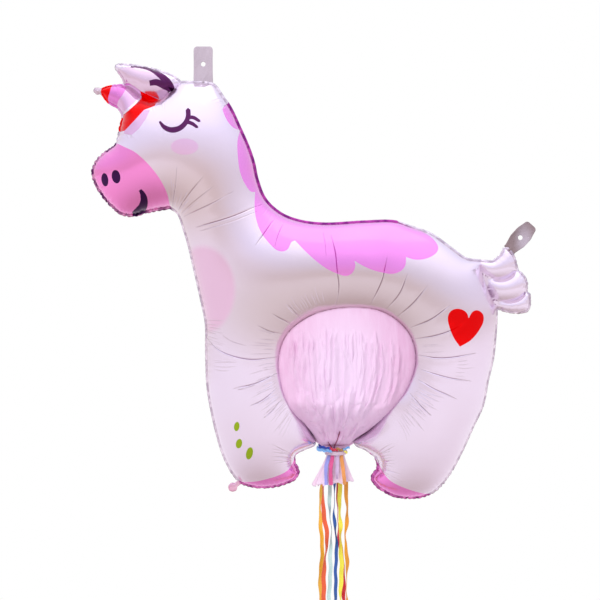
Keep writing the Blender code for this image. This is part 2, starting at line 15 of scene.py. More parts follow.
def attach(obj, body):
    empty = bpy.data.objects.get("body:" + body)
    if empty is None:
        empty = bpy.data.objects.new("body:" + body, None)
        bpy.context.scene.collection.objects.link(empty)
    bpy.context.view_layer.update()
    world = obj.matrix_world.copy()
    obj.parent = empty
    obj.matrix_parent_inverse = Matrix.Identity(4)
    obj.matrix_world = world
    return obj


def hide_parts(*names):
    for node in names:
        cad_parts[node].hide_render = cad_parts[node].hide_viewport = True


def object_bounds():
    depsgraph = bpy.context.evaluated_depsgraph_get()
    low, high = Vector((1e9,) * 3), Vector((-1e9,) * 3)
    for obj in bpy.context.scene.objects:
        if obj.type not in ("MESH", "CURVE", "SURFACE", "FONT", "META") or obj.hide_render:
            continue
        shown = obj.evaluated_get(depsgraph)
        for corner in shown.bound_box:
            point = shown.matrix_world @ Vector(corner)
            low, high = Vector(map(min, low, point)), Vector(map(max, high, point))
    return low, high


# ---- camera ----
CAMERA_AT = (0.164, -2.6, -0.401)
VIEW_WIDTH = 1.02           # width of the picture at the pinata's middle plane
SENSOR = 36.0
FLOOR_DROP = 0.14           # the floor lies this far under the longest ribbon

# the studio's light from each height of the sky, -1 straight down to 1 straight up
SKY = [
    (-1.00, (0.56, 0.47, 0.46)), (-0.70, (0.74, 0.67, 0.69)), (-0.50, (0.82, 0.76, 0.79)),
    (-0.34, (0.86, 0.81, 0.84)), (-0.17, (0.88, 0.83, 0.88)), (-0.08, (0.86, 0.80, 0.84)),
    (-0.02, (0.74, 0.67, 0.68)), (0.09, (0.72, 0.65, 0.67)), (0.22, (0.76, 0.71, 0.76)),
    (0.38, (0.75, 0.73, 0.84)), (0.56, (0.82, 0.81, 0.93)), (0.74, (0.99, 0.98, 1.10)),
    (1.00, (1.16, 1.16, 1.27)),
]
SKY_STRENGTH = 1.12
SOFT_LIGHT = 0.95           # the sky's strength for soft light, of its strength for mirrored light
LEFT_DIM = 0.06             # how much dimmer the sky is at the far left than in the middle
FLOOR_RADIUS = 1.7
FLOOR_CORNERS = 96

# ---- the balloon ----
SEAM_GAP = 0.0003
FOIL_WALL = 0.0008          # room the foil takes at its seams
FILM_WALL = 0.0006          # room the pouch's film takes there
SKIN = 0.00025              # thickness of the foil and film as drawn
PLUMPNESS = 0.96            # swell of the panels against a full round tube
LAP_REACH = 0.030           # how far from the belly hole the foil still makes room for the film's edge
WELD_FILL = 0.12            # how high a weld line stands, of the height without it
OUTLINE_STEP = 0.0026
WELD_STEP = 0.0026
PRINT_STEP = 0.003
GRID_STEP = 0.005
ON_SEAM = 2e-5              # a point this near to the seam lies on it
SEAM_EASE = 0.003           # creases and ruffles fade out over this distance from the seam
BACK = [
    (-0.038, -0.0285), (-0.020, -0.0285), (0.002, -0.029), (0.018, -0.0325), (0.036, -0.0555), (0.048, -0.073),
    (0.064, -0.107), (0.079, -0.141), (0.088, -0.168), (0.0935, -0.194), (0.107, -0.228),
    (0.133, -0.252), (0.164, -0.264), (0.205, -0.269), (0.274, -0.2655), (0.324, -0.265),
    (0.353, -0.274), (0.388, -0.287), (0.426, -0.314), (0.446, -0.328), (0.467, -0.3315), (0.490, -0.3335),
]
TAIL = [
    [(0.490, -0.3335), (0.504, -0.322), (0.5085, -0.3125), (0.517, -0.3105), (0.527, -0.321),
     (0.5325, -0.334), (0.5355, -0.3485)],
    [(0.5355, -0.3485), (0.5465, -0.359), (0.552, -0.372), (0.551, -0.3845)],
    [(0.551, -0.3845), (0.5565, -0.392), (0.557, -0.406), (0.553, -0.420), (0.5415, -0.4245),
     (0.528, -0.425), (0.513, -0.4225), (0.5005, -0.418)],
]
RUMP = [
    (0.5005, -0.418), (0.499, -0.452), (0.494, -0.501), (0.485, -0.540), (0.477, -0.580), (0.461, -0.615),
    (0.441, -0.659), (0.425, -0.690),
]
HIND_HOOF = [
    (0.425, -0.690), (0.409, -0.714), (0.386, -0.7325), (0.359, -0.7395),
    (0.329, -0.738), (0.305, -0.728), (0.289, -0.715), (0.2835, -0.702), (0.2935, -0.684), (0.290, -0.668),
]
CROTCH_RIGHT = [(0.290, -0.668), (0.275, -0.657), (0.2575, -0.6485), (0.2545, -0.641)]
BELLY_HOLE = [
    (0.2545, -0.641), (0.278, -0.622), (0.310, -0.586), (0.340, -0.547), (0.3545, -0.500), (0.343, -0.456),
    (0.303, -0.4225), (0.244, -0.4145), (0.184, -0.427), (0.143, -0.459), (0.1295, -0.500),
    (0.137, -0.552), (0.152, -0.583), (0.174, -0.610), (0.1915, -0.640),
]
CROTCH_LEFT = [(0.1915, -0.640), (0.1895, -0.6485), (0.173, -0.656), (0.157, -0.665), (0.157, -0.676)]
FRONT_HOOF = [
    (0.157, -0.676), (0.164, -0.692), (0.157, -0.7065), (0.138, -0.716), (0.117, -0.721), (0.096, -0.722),
    (0.078, -0.7195), (0.064, -0.7145), (0.055, -0.707), (0.0475, -0.698),
]
CHEST = [
    (0.0475, -0.698), (0.031, -0.664), (0.0145, -0.604), (0.005, -0.550), (0.0025, -0.486), (0.002, -0.442),
    (-0.005, -0.406), (-0.019, -0.344), (-0.027, -0.310), (-0.035, -0.283), (-0.0455, -0.255), (-0.057, -0.247),
]
FACE = [
    (-0.057, -0.247), (-0.080, -0.251), (-0.100, -0.2555), (-0.119, -0.2605), (-0.141, -0.257), (-0.167, -0.234),
    (-0.184, -0.209), (-0.1915, -0.184), (-0.184, -0.163), (-0.166, -0.146), (-0.151, -0.135),
    (-0.147, -0.122), (-0.1445, -0.108), (-0.1405, -0.094),
]
HORN = [
    (-0.1405, -0.094), (-0.1405, -0.086), (-0.147, -0.0765),
    (-0.161, -0.0685), (-0.169, -0.060), (-0.1745, -0.0525), (-0.183, -0.0515), (-0.1875, -0.0455),
    (-0.1835, -0.0395), (-0.1745, -0.0405), (-0.1635, -0.0365), (-0.152, -0.0345), (-0.1375, -0.0335),
]
EAR = [
    (-0.1375, -0.0335), (-0.1385, -0.0265), (-0.145, -0.0175), (-0.1515, -0.006), (-0.149, 0.000),
    (-0.136, 0.0015), (-0.112, -0.001), (-0.088, -0.0055), (-0.065, -0.0125), (-0.047, -0.0205), (-0.038, -0.0285),
]
# each run of the outline: its knots, the flange's width, its puckers' spacing, depth and reach, and the edge's ruffle
OUTLINE_RUNS = [
    (BACK, 0.0036, 0.009, 0.0001, 0.008, 0.0004), (TAIL[0], 0.003, 0.0075, 0.001, 0.012, 0.0012),
    (TAIL[1], 0.003, 0.0075, 0.001, 0.012, 0.0012), (TAIL[2], 0.003, 0.0075, 0.001, 0.012, 0.0012),
    (RUMP, 0.0032, 0.009, 0.0004, 0.014, 0.0009), (HIND_HOOF, 0.0038, 0.008, 0.0013, 0.014, 0.0022),
    (CROTCH_RIGHT, 0.0016, 0.007, 0.0003, 0.008, 0.0003), (BELLY_HOLE, 0.0014, 0.007, 0.0002, 0.010, 0.0),
    (CROTCH_LEFT, 0.0016, 0.007, 0.0003, 0.008, 0.0003), (FRONT_HOOF, 0.0038, 0.008, 0.0013, 0.014, 0.0022),
    (CHEST, 0.003, 0.009, 0.0003, 0.012, 0.0006), (FACE, 0.0038, 0.008, 0.0014, 0.015, 0.0026),
    (HORN, 0.0026, 0.0065, 0.0006, 0.008, 0.001), (EAR, 0.0028, 0.007, 0.0007, 0.010, 0.0011),
]
WELD_LINES = [
    [(0.470, -0.345), (0.473, -0.356), (0.481, -0.377), (0.491, -0.400), (0.4985, -0.414)],
    [(0.473, -0.356), (0.487, -0.3635), (0.502, -0.3665), (0.518, -0.3625), (0.531, -0.3515)],
    [(0.491, -0.400), (0.507, -0.4035), (0.523, -0.403), (0.537, -0.398), (0.547, -0.388)],
    [(-0.1335, -0.0375), (-0.1225, -0.043), (-0.111, -0.0535), (-0.092, -0.064)],
    [(-0.092, -0.064), (-0.075, -0.0615), (-0.062, -0.053), (-0.050, -0.0435), (-0.0415, -0.034)],
]
TAIL_WELDS = 3              # how many of them are the tail's
# rings of mesh points beside the seam: distance inside it, spacing along it
SEAM_RINGS = [(-0.0016, 0.0026), (0.0011, 0.0024), (0.0028, 0.0026), (0.005, 0.0028), (0.0082, 0.0034),
              (0.0125, 0.0042)]
SCALLOP = 0.0022            # how far the deepest pucker draws the edge in
SCALLOP_REACH = 0.0065      # how far from the edge it still draws the foil

# ---- creases: the line over the front panel, its depth and its half width ----
CREASE_REACH = 0.015        # how far beside a long crease the foil still slopes towards it
WIDE_SHARE = 0.34           # the depth of that slope, of the crease's depth
NARROW_SHARE = 0.52         # the depth of the crease's own groove, likewise
CREASES = [
    ([(-0.032, -0.2625), (0.0155, -0.243), (0.055, -0.221)], 0.0014, 0.00054),
    ([(-0.0115, -0.281), (0.0485, -0.2645), (0.103, -0.2405)], 0.0026, 0.00066),
    ([(-0.004, -0.287), (0.052, -0.2715), (0.096, -0.2525)], 0.001, 0.00048),
    ([(-0.050, -0.245), (-0.043, -0.219), (-0.0385, -0.1805)], 0.0012, 0.00054),
    ([(-0.040, -0.2505), (-0.018, -0.224), (0.005, -0.197)], 0.0016, 0.0006),
    ([(-0.036, -0.257), (-0.008, -0.236), (0.022, -0.213)], 0.001, 0.00048),
    ([(0.1205, -0.2675), (0.1065, -0.289), (0.090, -0.3125)], 0.002, 0.0006),
    ([(0.1355, -0.2755), (0.1275, -0.2955), (0.123, -0.3125)], 0.0012, 0.00048),
    ([(0.2025, -0.2885), (0.2055, -0.3085), (0.207, -0.3285)], 0.0008, 0.00048),
    ([(0.2145, -0.2905), (0.222, -0.3215), (0.225, -0.3515), (0.228, -0.378), (0.226, -0.398), (0.221, -0.415)],
     0.0024, 0.0006),
    ([(0.308, -0.330), (0.303, -0.3515), (0.300, -0.365), (0.2905, -0.388), (0.2795, -0.4095)], 0.0024, 0.0006),
    ([(0.341, -0.3565), (0.328, -0.3895), (0.3065, -0.4165)], 0.0022, 0.0006),
    ([(0.374, -0.3765), (0.350, -0.406), (0.3235, -0.430)], 0.0022, 0.0006),
    ([(0.412, -0.4085), (0.3795, -0.4325), (0.3455, -0.447)], 0.0024, 0.0006),
    ([(0.441, -0.436), (0.417, -0.449), (0.3865, -0.4595), (0.352, -0.4655)], 0.0024, 0.0006),
    ([(0.358, -0.491), (0.3855, -0.496), (0.413, -0.4955), (0.4585, -0.488)], 0.0022, 0.0006),
    ([(0.3632, -0.5149), (0.3798, -0.5207), (0.3964, -0.5257), (0.413, -0.5298), (0.4495, -0.5356)], 0.0018, 0.0006),
    ([(0.3582, -0.5315), (0.3881, -0.5489), (0.403, -0.5555), (0.4246, -0.5655)], 0.0018, 0.0006),
    ([(0.3449, -0.5539), (0.3549, -0.5655), (0.3665, -0.5788), (0.3815, -0.5921)], 0.0014, 0.00054),
    ([(0.119, -0.4236), (0.1308, -0.431), (0.1408, -0.436), (0.154, -0.4445)], 0.0016, 0.0006),
    ([(0.1441, -0.4086), (0.1524, -0.4178), (0.165, -0.432)], 0.0014, 0.00054),
    ([(0.006, -0.463), (0.023, -0.480), (0.0445, -0.491), (0.0845, -0.499), (0.1295, -0.4945)], 0.0026, 0.0006),
    ([(0.0525, -0.5475), (0.089, -0.539), (0.1285, -0.521)], 0.002, 0.0006),
    ([(0.0611, -0.5495), (0.0727, -0.5468), (0.091, -0.5405)], 0.0006, 0.00042),
    ([(0.081, -0.5755), (0.0975, -0.569), (0.112, -0.5585), (0.126, -0.545)], 0.0018, 0.00054),
    ([(0.104, -0.596), (0.1175, -0.5845), (0.13, -0.569)], 0.0014, 0.00048),
    ([(0.0945, -0.443), (0.1155, -0.453), (0.137, -0.457)], 0.0014, 0.0006),
    ([(0.034, -0.458), (0.051, -0.469), (0.0745, -0.476)], 0.0006, 0.00042),
]
# sets of fine creases: first and last starting point, direction at each in degrees, how many, length, depth
CREASE_SETS = [
    ((0.156, -0.424), (0.204, -0.405), 134, 104, 11, 0.030, 0.0005),
    ((0.127, -0.462), (0.121, -0.490), 168, 180, 6, 0.042, 0.00037),
    ((0.008, -0.436), (0.010, -0.474), -4, -20, 9, 0.032, 0.00037),
    ((0.020, -0.500), (0.020, -0.516), 0, -4, 4, 0.050, 0.00025),
    ((0.122, -0.503), (0.124, -0.545), 186, 208, 8, 0.042, 0.00037),
    ((0.128, -0.556), (0.152, -0.592), 212, 244, 14, 0.044, 0.0005),
    ((0.364, -0.474), (0.366, -0.486), 6, 2, 3, 0.046, 0.00025),
    ((0.425, -0.500), (0.418, -0.532), 2, -8, 6, 0.030, 0.00025),
    ((0.360, -0.545), (0.326, -0.598), -22, -62, 17, 0.050, 0.0005),
    ((0.030, -0.060), (0.052, -0.092), 212, 200, 8, 0.014, 0.00043),
    ((0.098, -0.236), (0.124, -0.262), 226, 246, 6, 0.018, 0.00037),
    ((0.153, -0.660), (0.158, -0.676), 150, 196, 10, 0.040, 0.00062),
    ((0.290, -0.662), (0.292, -0.684), 40, -32, 12, 0.050, 0.00062),
    ((-0.054, -0.240), (-0.040, -0.262), 104, 32, 10, 0.042, 0.0005),
    ((-0.134, -0.112), (-0.118, -0.126), -66, -46, 5, 0.020, 0.00037),
    ((-0.086, -0.078), (-0.060, -0.072), -66, -84, 4, 0.018, 0.00031),
    ((0.476, -0.372), (0.488, -0.398), 196, 206, 6, 0.016, 0.00037),
]

# ---- prints ----
MUZZLE_EDGE = [
    (-0.1555, -0.131), (-0.1485, -0.135), (-0.1295, -0.1455), (-0.1095, -0.156), (-0.0905, -0.1725),
    (-0.074, -0.1915), (-0.063, -0.209), (-0.056, -0.227), (-0.0545, -0.2465), (-0.0535, -0.255),
]
NOSTRILS = [((-0.163, -0.1995), 0.0064, 0.011, 8), ((-0.1425, -0.1955), 0.0076, 0.0112, 12)]
MOUTH = [(-0.102, -0.218), (-0.098, -0.2245), (-0.0965, -0.235), (-0.1015, -0.2455), (-0.117, -0.256)]
EYELID = [(-0.0685, -0.1055), (-0.060, -0.1155), (-0.048, -0.1205), (-0.0345, -0.1175), (-0.0245, -0.1075),
          (-0.021, -0.0965), (-0.0215, -0.086)]
LASHES = [[(-0.0215, -0.0995), (-0.013, -0.099), (-0.0025, -0.105)],
          [(-0.0235, -0.1065), (-0.0145, -0.1095), (-0.006, -0.1155)]]
EAR_STROKES = [
    [(-0.1225, -0.006), (-0.1095, -0.006), (-0.0915, -0.010), (-0.073, -0.0205), (-0.057, -0.0365), (-0.0535, -0.0435)],
    [(-0.0895, -0.0355), (-0.0775, -0.034), (-0.065, -0.0395), (-0.0555, -0.0445)],
]
EAR_INSIDE = [(-0.145, -0.0105), (-0.123, -0.006), (-0.0915, -0.010), (-0.073, -0.0205), (-0.057, -0.0365),
              (-0.045, -0.052), (-0.070, -0.072), (-0.0895, -0.070), (-0.125, -0.045), (-0.150, -0.0255)]
HORN_STRIPES = [
    [(-0.171, -0.0335), (-0.174, -0.047), (-0.17, -0.065)],
    [(-0.155, -0.03), (-0.1575, -0.049), (-0.161, -0.06), (-0.161, -0.074)],
    [(-0.126, -0.032), (-0.1345, -0.0535), (-0.1445, -0.0685), (-0.149, -0.09)],
]
HORN_BAND = [(-0.106, -0.048), (-0.0745, -0.062), (-0.079, -0.077), (-0.0965, -0.084), (-0.112, -0.102),
             (-0.130, -0.118), (-0.1475, -0.1135), (-0.142, -0.0935), (-0.1225, -0.083), (-0.1035, -0.0625)]
HORN_SHADE = [(-0.0965, -0.084), (-0.086, -0.0845), (-0.092, -0.1005), (-0.1035, -0.117), (-0.1155, -0.1265),
              (-0.13, -0.123), (-0.130, -0.118), (-0.112, -0.102)]
MANE_RUNS = [
    [(0.034, -0.0815), (0.039, -0.095), (0.047, -0.1075), (0.0565, -0.114), (0.066, -0.1115)],
    [(0.0625, -0.115), (0.0595, -0.135), (0.0605, -0.1625), (0.0645, -0.1885), (0.0725, -0.208), (0.0825, -0.2205),
     (0.089, -0.220)],
    [(0.089, -0.220), (0.0885, -0.2425), (0.090, -0.2595), (0.095, -0.2785), (0.103, -0.2945), (0.1145, -0.309),
     (0.1255, -0.319), (0.1345, -0.3215), (0.1435, -0.318), (0.1505, -0.305), (0.156, -0.303)],
    [(0.156, -0.303), (0.1725, -0.3205), (0.1905, -0.337), (0.2085, -0.350), (0.226, -0.358), (0.240, -0.3615),
     (0.250, -0.3565), (0.255, -0.345), (0.2535, -0.3365)],
    [(0.2535, -0.3365), (0.268, -0.345), (0.283, -0.3515), (0.2995, -0.356), (0.316, -0.358), (0.3295, -0.3535),
     (0.337, -0.345), (0.339, -0.330)],
    [(0.339, -0.330), (0.351, -0.334), (0.3665, -0.334), (0.3815, -0.329), (0.392, -0.321), (0.395, -0.312),
     (0.3875, -0.298), (0.3715, -0.2855), (0.352, -0.277), (0.3305, -0.2685)],
]
MANE_OUTSIDE = [(0.330, -0.250), (0.100, -0.200), (0.090, -0.100), (0.045, -0.060)]
HEART = [
    [(0.4425, -0.431), (0.439, -0.422), (0.429, -0.416), (0.4185, -0.416), (0.4105, -0.421), (0.407, -0.431),
     (0.4105, -0.4475), (0.4175, -0.464), (0.4275, -0.478)],
    [(0.4275, -0.478), (0.446, -0.4675), (0.460, -0.4525), (0.469, -0.436), (0.468, -0.4245), (0.4585, -0.418),
     (0.4495, -0.4205), (0.4425, -0.431)],
]
SPOTS = [((0.059, -0.611), 0.0046, 0.008, -10), ((0.0625, -0.640), 0.0052, 0.0084, -14),
         ((0.080, -0.656), 0.0056, 0.0108, -14)]
FRONT_HOOF_EDGE = [(0.030, -0.7105), (0.0535, -0.709), (0.0865, -0.7065), (0.1095, -0.701), (0.131, -0.694),
                   (0.1435, -0.687), (0.1505, -0.6775), (0.159, -0.6595)]
HIND_HOOF_EDGE = [(0.2835, -0.66), (0.297, -0.6795), (0.3125, -0.7015), (0.3335, -0.7135), (0.3795, -0.7295),
                  (0.410, -0.738)]
# soft patches: centre, half width, half height, tilt in degrees
CHEEK = ((-0.026, -0.1485), 0.0225, 0.0135, 8)
CHEST_PATCH = ((0.000, -0.384), 0.057, 0.072, 0)
# painted shade: a darker patch under the jaw, and one over the belly hole where the foil faces down
THROAT_SHADE_PATCH = ((-0.012, -0.222), 0.09, 0.07, -30)
BELLY_SHADE_PATCH = ((0.235, -0.415), 0.2, 0.09, 0)

# ---- pouch, neck, tie and skirt ----
POUCH_LAP = 0.004           # how far the film's free edge reaches in under the foil
POUCH_INSET = 0.001         # its seam lies this far inside the belly hole
POUCH_DEPTH = 0.078         # how far the dome's crown stands out from the middle plane
POUCH_GRID = 0.0015
HOLE_TUCK = 0.002          # how far the hole's edge is drawn in, to lie behind the dome's rim
HOLE_CENTRE = (0.238, -0.515)
OVERHANG = 0.004           # how far the dome's rim lies out over the foil
SHOULDER = 0.062           # how far the hole's brim stands out from the middle plane, foil and film alike
SHOULDER_FOOT = -0.652      # the brim starts to rise at this height
SHOULDER_RISE = 0.085       # and has its full depth this far above it
RIM_WIDTH = 0.004           # the dome's rim turns over within this distance of its seam
RIM_REACH = 0.034           # and its overhang has died away at this one
FILM_SKIN = 0.0002
FOLDS = 72                  # folds in each film of the pouch
# the gaps between the gathers at the neck: the film sinks in along them, and a strip of painted shadow lies in them
GATHER_GAPS = [[(0.2305, -0.623), (0.2275, -0.635), (0.224, -0.644), (0.222, -0.652)],
               [(0.212, -0.64), (0.215, -0.647), (0.219, -0.653)]]
NECK_X = 0.2245
NECK_TOP = -0.654
SKIRT_HEM = -0.712
NECK_HALF = (0.0147, 0.0087)

# the tie's turns: height, how much tighter than the first, thickness, lean
TIE_TURNS = [(-0.6578, 0.0, 0.0013, 0.0003), (-0.66, 0.0, 0.0012, -0.0003), (-0.6621, 0.0006, 0.0011, 0.0002)]
TIE_END_STEP = 0.0008
# crumpled ribbon ends wound in above the tie: colour, width and route over the front; the back mirrors them
TIE_ENDS = [
    ("blue", 0.004, [(0.1955, -0.0125, -0.6495), (0.2035, -0.014, -0.65), (0.211, -0.0152, -0.6515),
                      (0.219, -0.0158, -0.6525)]),
    ("sky", 0.005, [(0.1925, -0.013, -0.653), (0.201, -0.015, -0.655), (0.2095, -0.016, -0.6555),
                     (0.2175, -0.0162, -0.6562)]),
    ("crimson", 0.0042, [(0.214, -0.016, -0.651), (0.2195, -0.0163, -0.6535), (0.228, -0.016, -0.6548)]),
    ("bronze", 0.004, [(0.2255, -0.0158, -0.652), (0.232, -0.0156, -0.6538), (0.238, -0.0146, -0.655)]),
    ("sky", 0.0036, [(0.235, -0.0144, -0.6545), (0.242, -0.0132, -0.652), (0.248, -0.0116, -0.65)]),
    ("gold", 0.0034, [(0.2385, -0.014, -0.656), (0.242, -0.013, -0.658), (0.244, -0.0124, -0.6605)]),
]
TIE_COLOURS = {"blue": (0.030, 0.080, 0.500), "sky": (0.240, 0.520, 0.920), "crimson": (0.720, 0.040, 0.080),
               "bronze": (0.480, 0.260, 0.080), "gold": (0.940, 0.860, 0.180)}

# ---- hanging tabs and filler neck ----
HEAD_TAB = {
    "base": (-0.0005, -0.027), "toward": (0.0, 1.0), "length": 0.057, "base_half": 0.0165,
    "middle_half": 0.016, "top_half": 0.0162, "hole_at": 0.027,
}
TAIL_TAB = {
    "base": (0.5221, -0.3131), "toward": (0.58, 0.64), "length": 0.054, "base_half": 0.011,
    "middle_half": 0.015, "top_half": 0.0115, "hole_at": 0.0245,
}
TAIL_TAB_PALE = ((0.545, -0.300), 0.0115, 0.023, 42)
TAB_CORNER = 0.006
TAB_GRID = 0.0018
TAB_RIM_RADIUS = 0.0052     # ring of mesh points round the punched hole
TAB_LAP = 0.005            # how far a tab's foot reaches in between the panels
TAB_HOLE_RADIUS = 0.004
FILLER_BASE = (0.0578, -0.7132)
FILLER_TOWARD = (-0.80, -0.60)
FILLER_LENGTH = 0.018
FILLER_LAP = 0.0045         # how far its neck reaches in between the panels
FILLER_HALF = (0.008, 0.0028)

# ---- ribbons: colour, route, and how far it is turned from facing the front at its start, in degrees ----
RIBBON_WIDTH = 0.007
RIBBON_STEP = 0.003
RIBBON_STOPS = 13           # places along a ribbon at which its turn is set
SHORT_RIBBONS = {
    "lavender": ([(0.2095, -0.015, -0.656), (0.2085, -0.0156, -0.680), (0.208, -0.0158, -0.700),
                  (0.2085, -0.0157, -0.7135)], (20, 40)),
    "pink": ([(0.2172, -0.0155, -0.656), (0.2165, -0.016, -0.680), (0.216, -0.0162, -0.700),
              (0.2165, -0.016, -0.714)], (0, 15)),
    "lilac": ([(0.2285, -0.0155, -0.656), (0.2275, -0.016, -0.672), (0.2265, -0.0162, -0.690),
               (0.2265, -0.0161, -0.704)], (10, -30)),
    "peach": ([(0.2375, -0.015, -0.656), (0.2365, -0.0156, -0.672), (0.2375, -0.0158, -0.692),
               (0.2395, -0.0158, -0.713)], (-20, 10)),
}
LONG_RIBBONS = {
    "red": ([(0.209, 0.015, -0.656), (0.206, 0.0158, -0.690), (0.2035, 0.0165, -0.725), (0.2045, 0.017, -0.760),
             (0.2095, 0.0175, -0.800), (0.2075, 0.017, -0.840), (0.204, 0.0165, -0.885), (0.2065, 0.0165, -0.940),
             (0.2085, 0.017, -0.995), (0.206, 0.0165, -1.050), (0.2065, 0.0165, -1.098)],
            (0, 10)),
    "mint": ([(0.2168, 0.0152, -0.656), (0.2155, 0.016, -0.690), (0.215, 0.0168, -0.725), (0.215, 0.0172, -0.765),
              (0.217, 0.017, -0.805), (0.216, 0.0168, -0.850), (0.2145, 0.017, -0.900), (0.215, 0.0168, -0.955),
              (0.216, 0.0165, -1.010), (0.215, 0.0165, -1.060), (0.215, 0.0165, -1.104)],
             (10, 35)),
    "blue": ([(0.2245, 0.0154, -0.656), (0.2235, 0.0162, -0.690), (0.2232, 0.017, -0.725), (0.2224, 0.0175, -0.760),
              (0.225, 0.0178, -0.800), (0.2262, 0.0172, -0.845), (0.2245, 0.0168, -0.895), (0.2235, 0.017, -0.950),
              (0.2245, 0.0168, -1.000), (0.224, 0.0165, -1.045), (0.224, 0.0165, -1.085)],
             (20, 66)),
    "yellow": ([(0.2322, 0.0152, -0.656), (0.2325, 0.016, -0.690), (0.2325, 0.0168, -0.725),
                (0.232, 0.0172, -0.765), (0.2335, 0.017, -0.810), (0.2345, 0.0168, -0.855),
                (0.234, 0.017, -0.905), (0.232, 0.0168, -0.960), (0.2325, 0.0165, -1.015),
                (0.2335, 0.0165, -1.065), (0.2335, 0.0165, -1.108)],
               (0, 12)),
    "orange": ([(0.24, 0.015, -0.656), (0.242, 0.0158, -0.690), (0.243, 0.0165, -0.725),
                (0.244, 0.0172, -0.765), (0.2425, 0.017, -0.810), (0.244, 0.0168, -0.855),
                (0.2435, 0.0172, -0.905), (0.242, 0.017, -0.960), (0.243, 0.0165, -1.010),
                (0.2445, 0.0165, -1.055), (0.244, 0.0165, -1.092)],
               (10, -10)),
    "amber": ([(0.2125, 0.0245, -0.656), (0.208, 0.025, -0.690), (0.201, 0.0256, -0.730),
               (0.1985, 0.026, -0.775), (0.2025, 0.0262, -0.820), (0.1995, 0.0258, -0.865),
               (0.2005, 0.0255, -0.915), (0.204, 0.0255, -0.970), (0.2015, 0.0255, -1.020),
               (0.2005, 0.0255, -1.078)], (0, 30)),
    "scarlet": ([(0.233, 0.0245, -0.656), (0.231, 0.025, -0.690), (0.2295, 0.0256, -0.735),
                 (0.229, 0.026, -0.785), (0.234, 0.0262, -0.825), (0.2385, 0.026, -0.865),
                 (0.2395, 0.0256, -0.915), (0.2375, 0.0255, -0.970), (0.2385, 0.0255, -1.020),
                 (0.2395, 0.0255, -1.070)], (0, -20)),
}

# ---- colours, linear ----
PEARL = (0.900, 0.800, 0.940)
PEARL_WARM = (0.880, 0.770, 0.900)
# painted shade: darker inks laid along the crease grooves, standing in for the shade that falls into them
PEARL_CREASE_SHADE = (0.520, 0.420, 0.480)
FINE_CREASE_SHADE = (0.760, 0.660, 0.760)
# painted shade: a darker ink along the tail's weld lines, where the valleys between its tubes fall into shade
WELD_VALLEY_SHADE = (0.420, 0.260, 0.420)
MANE_CREASE_SHADE = (0.560, 0.140, 0.480)
BLUSH = (0.860, 0.580, 0.790)
CHEST_BLUSH = (0.850, 0.590, 0.760)
# painted shade for the throat and belly patches
THROAT_SHADE = (0.720, 0.590, 0.600)
BELLY_SHADE = (0.690, 0.585, 0.605)
MANE_PINK = (0.950, 0.330, 0.850)
MUZZLE_PINK = (1.0, 0.310, 0.720)
HOOF_PINK = (1.0, 0.310, 0.800)
RED = (1.0, 0.0, 0.001)
PLUM = (0.115, 0.020, 0.110)
DARK_PLUM = (0.045, 0.006, 0.070)
GREEN = (0.360, 0.520, 0.020)
EAR_SHADE = (0.850, 0.640, 0.800)
HORN_PALE = (0.860, 0.560, 0.820)
HORN_PINK = (0.860, 0.270, 0.720)
HORN_TIP = (0.760, 0.600, 0.690)
# the sealed flange's inks: the flange's own tone darkened as painted shade, with dark dashes that are painted shadows
# of its ruffles
EDGE_GREY_SHADED = ((0.900, 0.800, 0.900), (0.560, 0.470, 0.570))
EDGE_MANE_SHADED = ((0.560, 0.070, 0.440), (0.240, 0.020, 0.240))
EDGE_MUZZLE_SHADED = ((0.780, 0.360, 0.600), (0.120, 0.020, 0.120))
EDGE_HOOF_SHADED = ((0.860, 0.260, 0.640), (0.260, 0.030, 0.200))
FILM_PINK = (0.930, 0.610, 0.830)
FILM_DEEP = (0.840, 0.460, 0.700)
# painted light: a paler patch over the pouch's middle, where its dome is most brightly lit
FILM_PAINTED_LIGHT = (0.980, 0.790, 0.970)
FILM_LIT_PATCH = ((0.236, -0.520), 0.075, 0.115, 0)
TAB_FILM = (0.450, 0.385, 0.445)
TAIL_TAB_FILM = (0.240, 0.170, 0.180)
TIE_PALE = (0.900, 0.720, 0.840)
VALVE_CLEAR = ((0.80, 0.82, 0.86), (0.68, 0.72, 0.80))
SKIRT_PINK = ((0.99, 0.88, 0.97), (0.95, 0.72, 0.87))
# painted shadow in the gaps between the gathers
GATHER_GAP_SHADOW = ((0.42, 0.06, 0.14), (0.30, 0.03, 0.10))
FILLER_PINK = ((0.88, 0.36, 0.60), (0.84, 0.52, 0.66))
FLOOR_PALE = ((0.86, 0.85, 0.86), (0.80, 0.79, 0.80))
RIBBON_COLOURS = {
    "lavender": (0.360, 0.380, 0.860), "pink": (0.840, 0.110, 0.330), "lilac": (0.760, 0.560, 0.820),
    "peach": (0.930, 0.380, 0.100), "red": (0.860, 0.120, 0.035), "mint": (0.560, 0.760, 0.690),
    "blue": (0.020, 0.100, 0.380), "yellow": (0.930, 0.850, 0.060), "orange": (0.880, 0.360, 0.020),
    "amber": (0.940, 0.540, 0.040), "scarlet": (0.800, 0.030, 0.070),
}


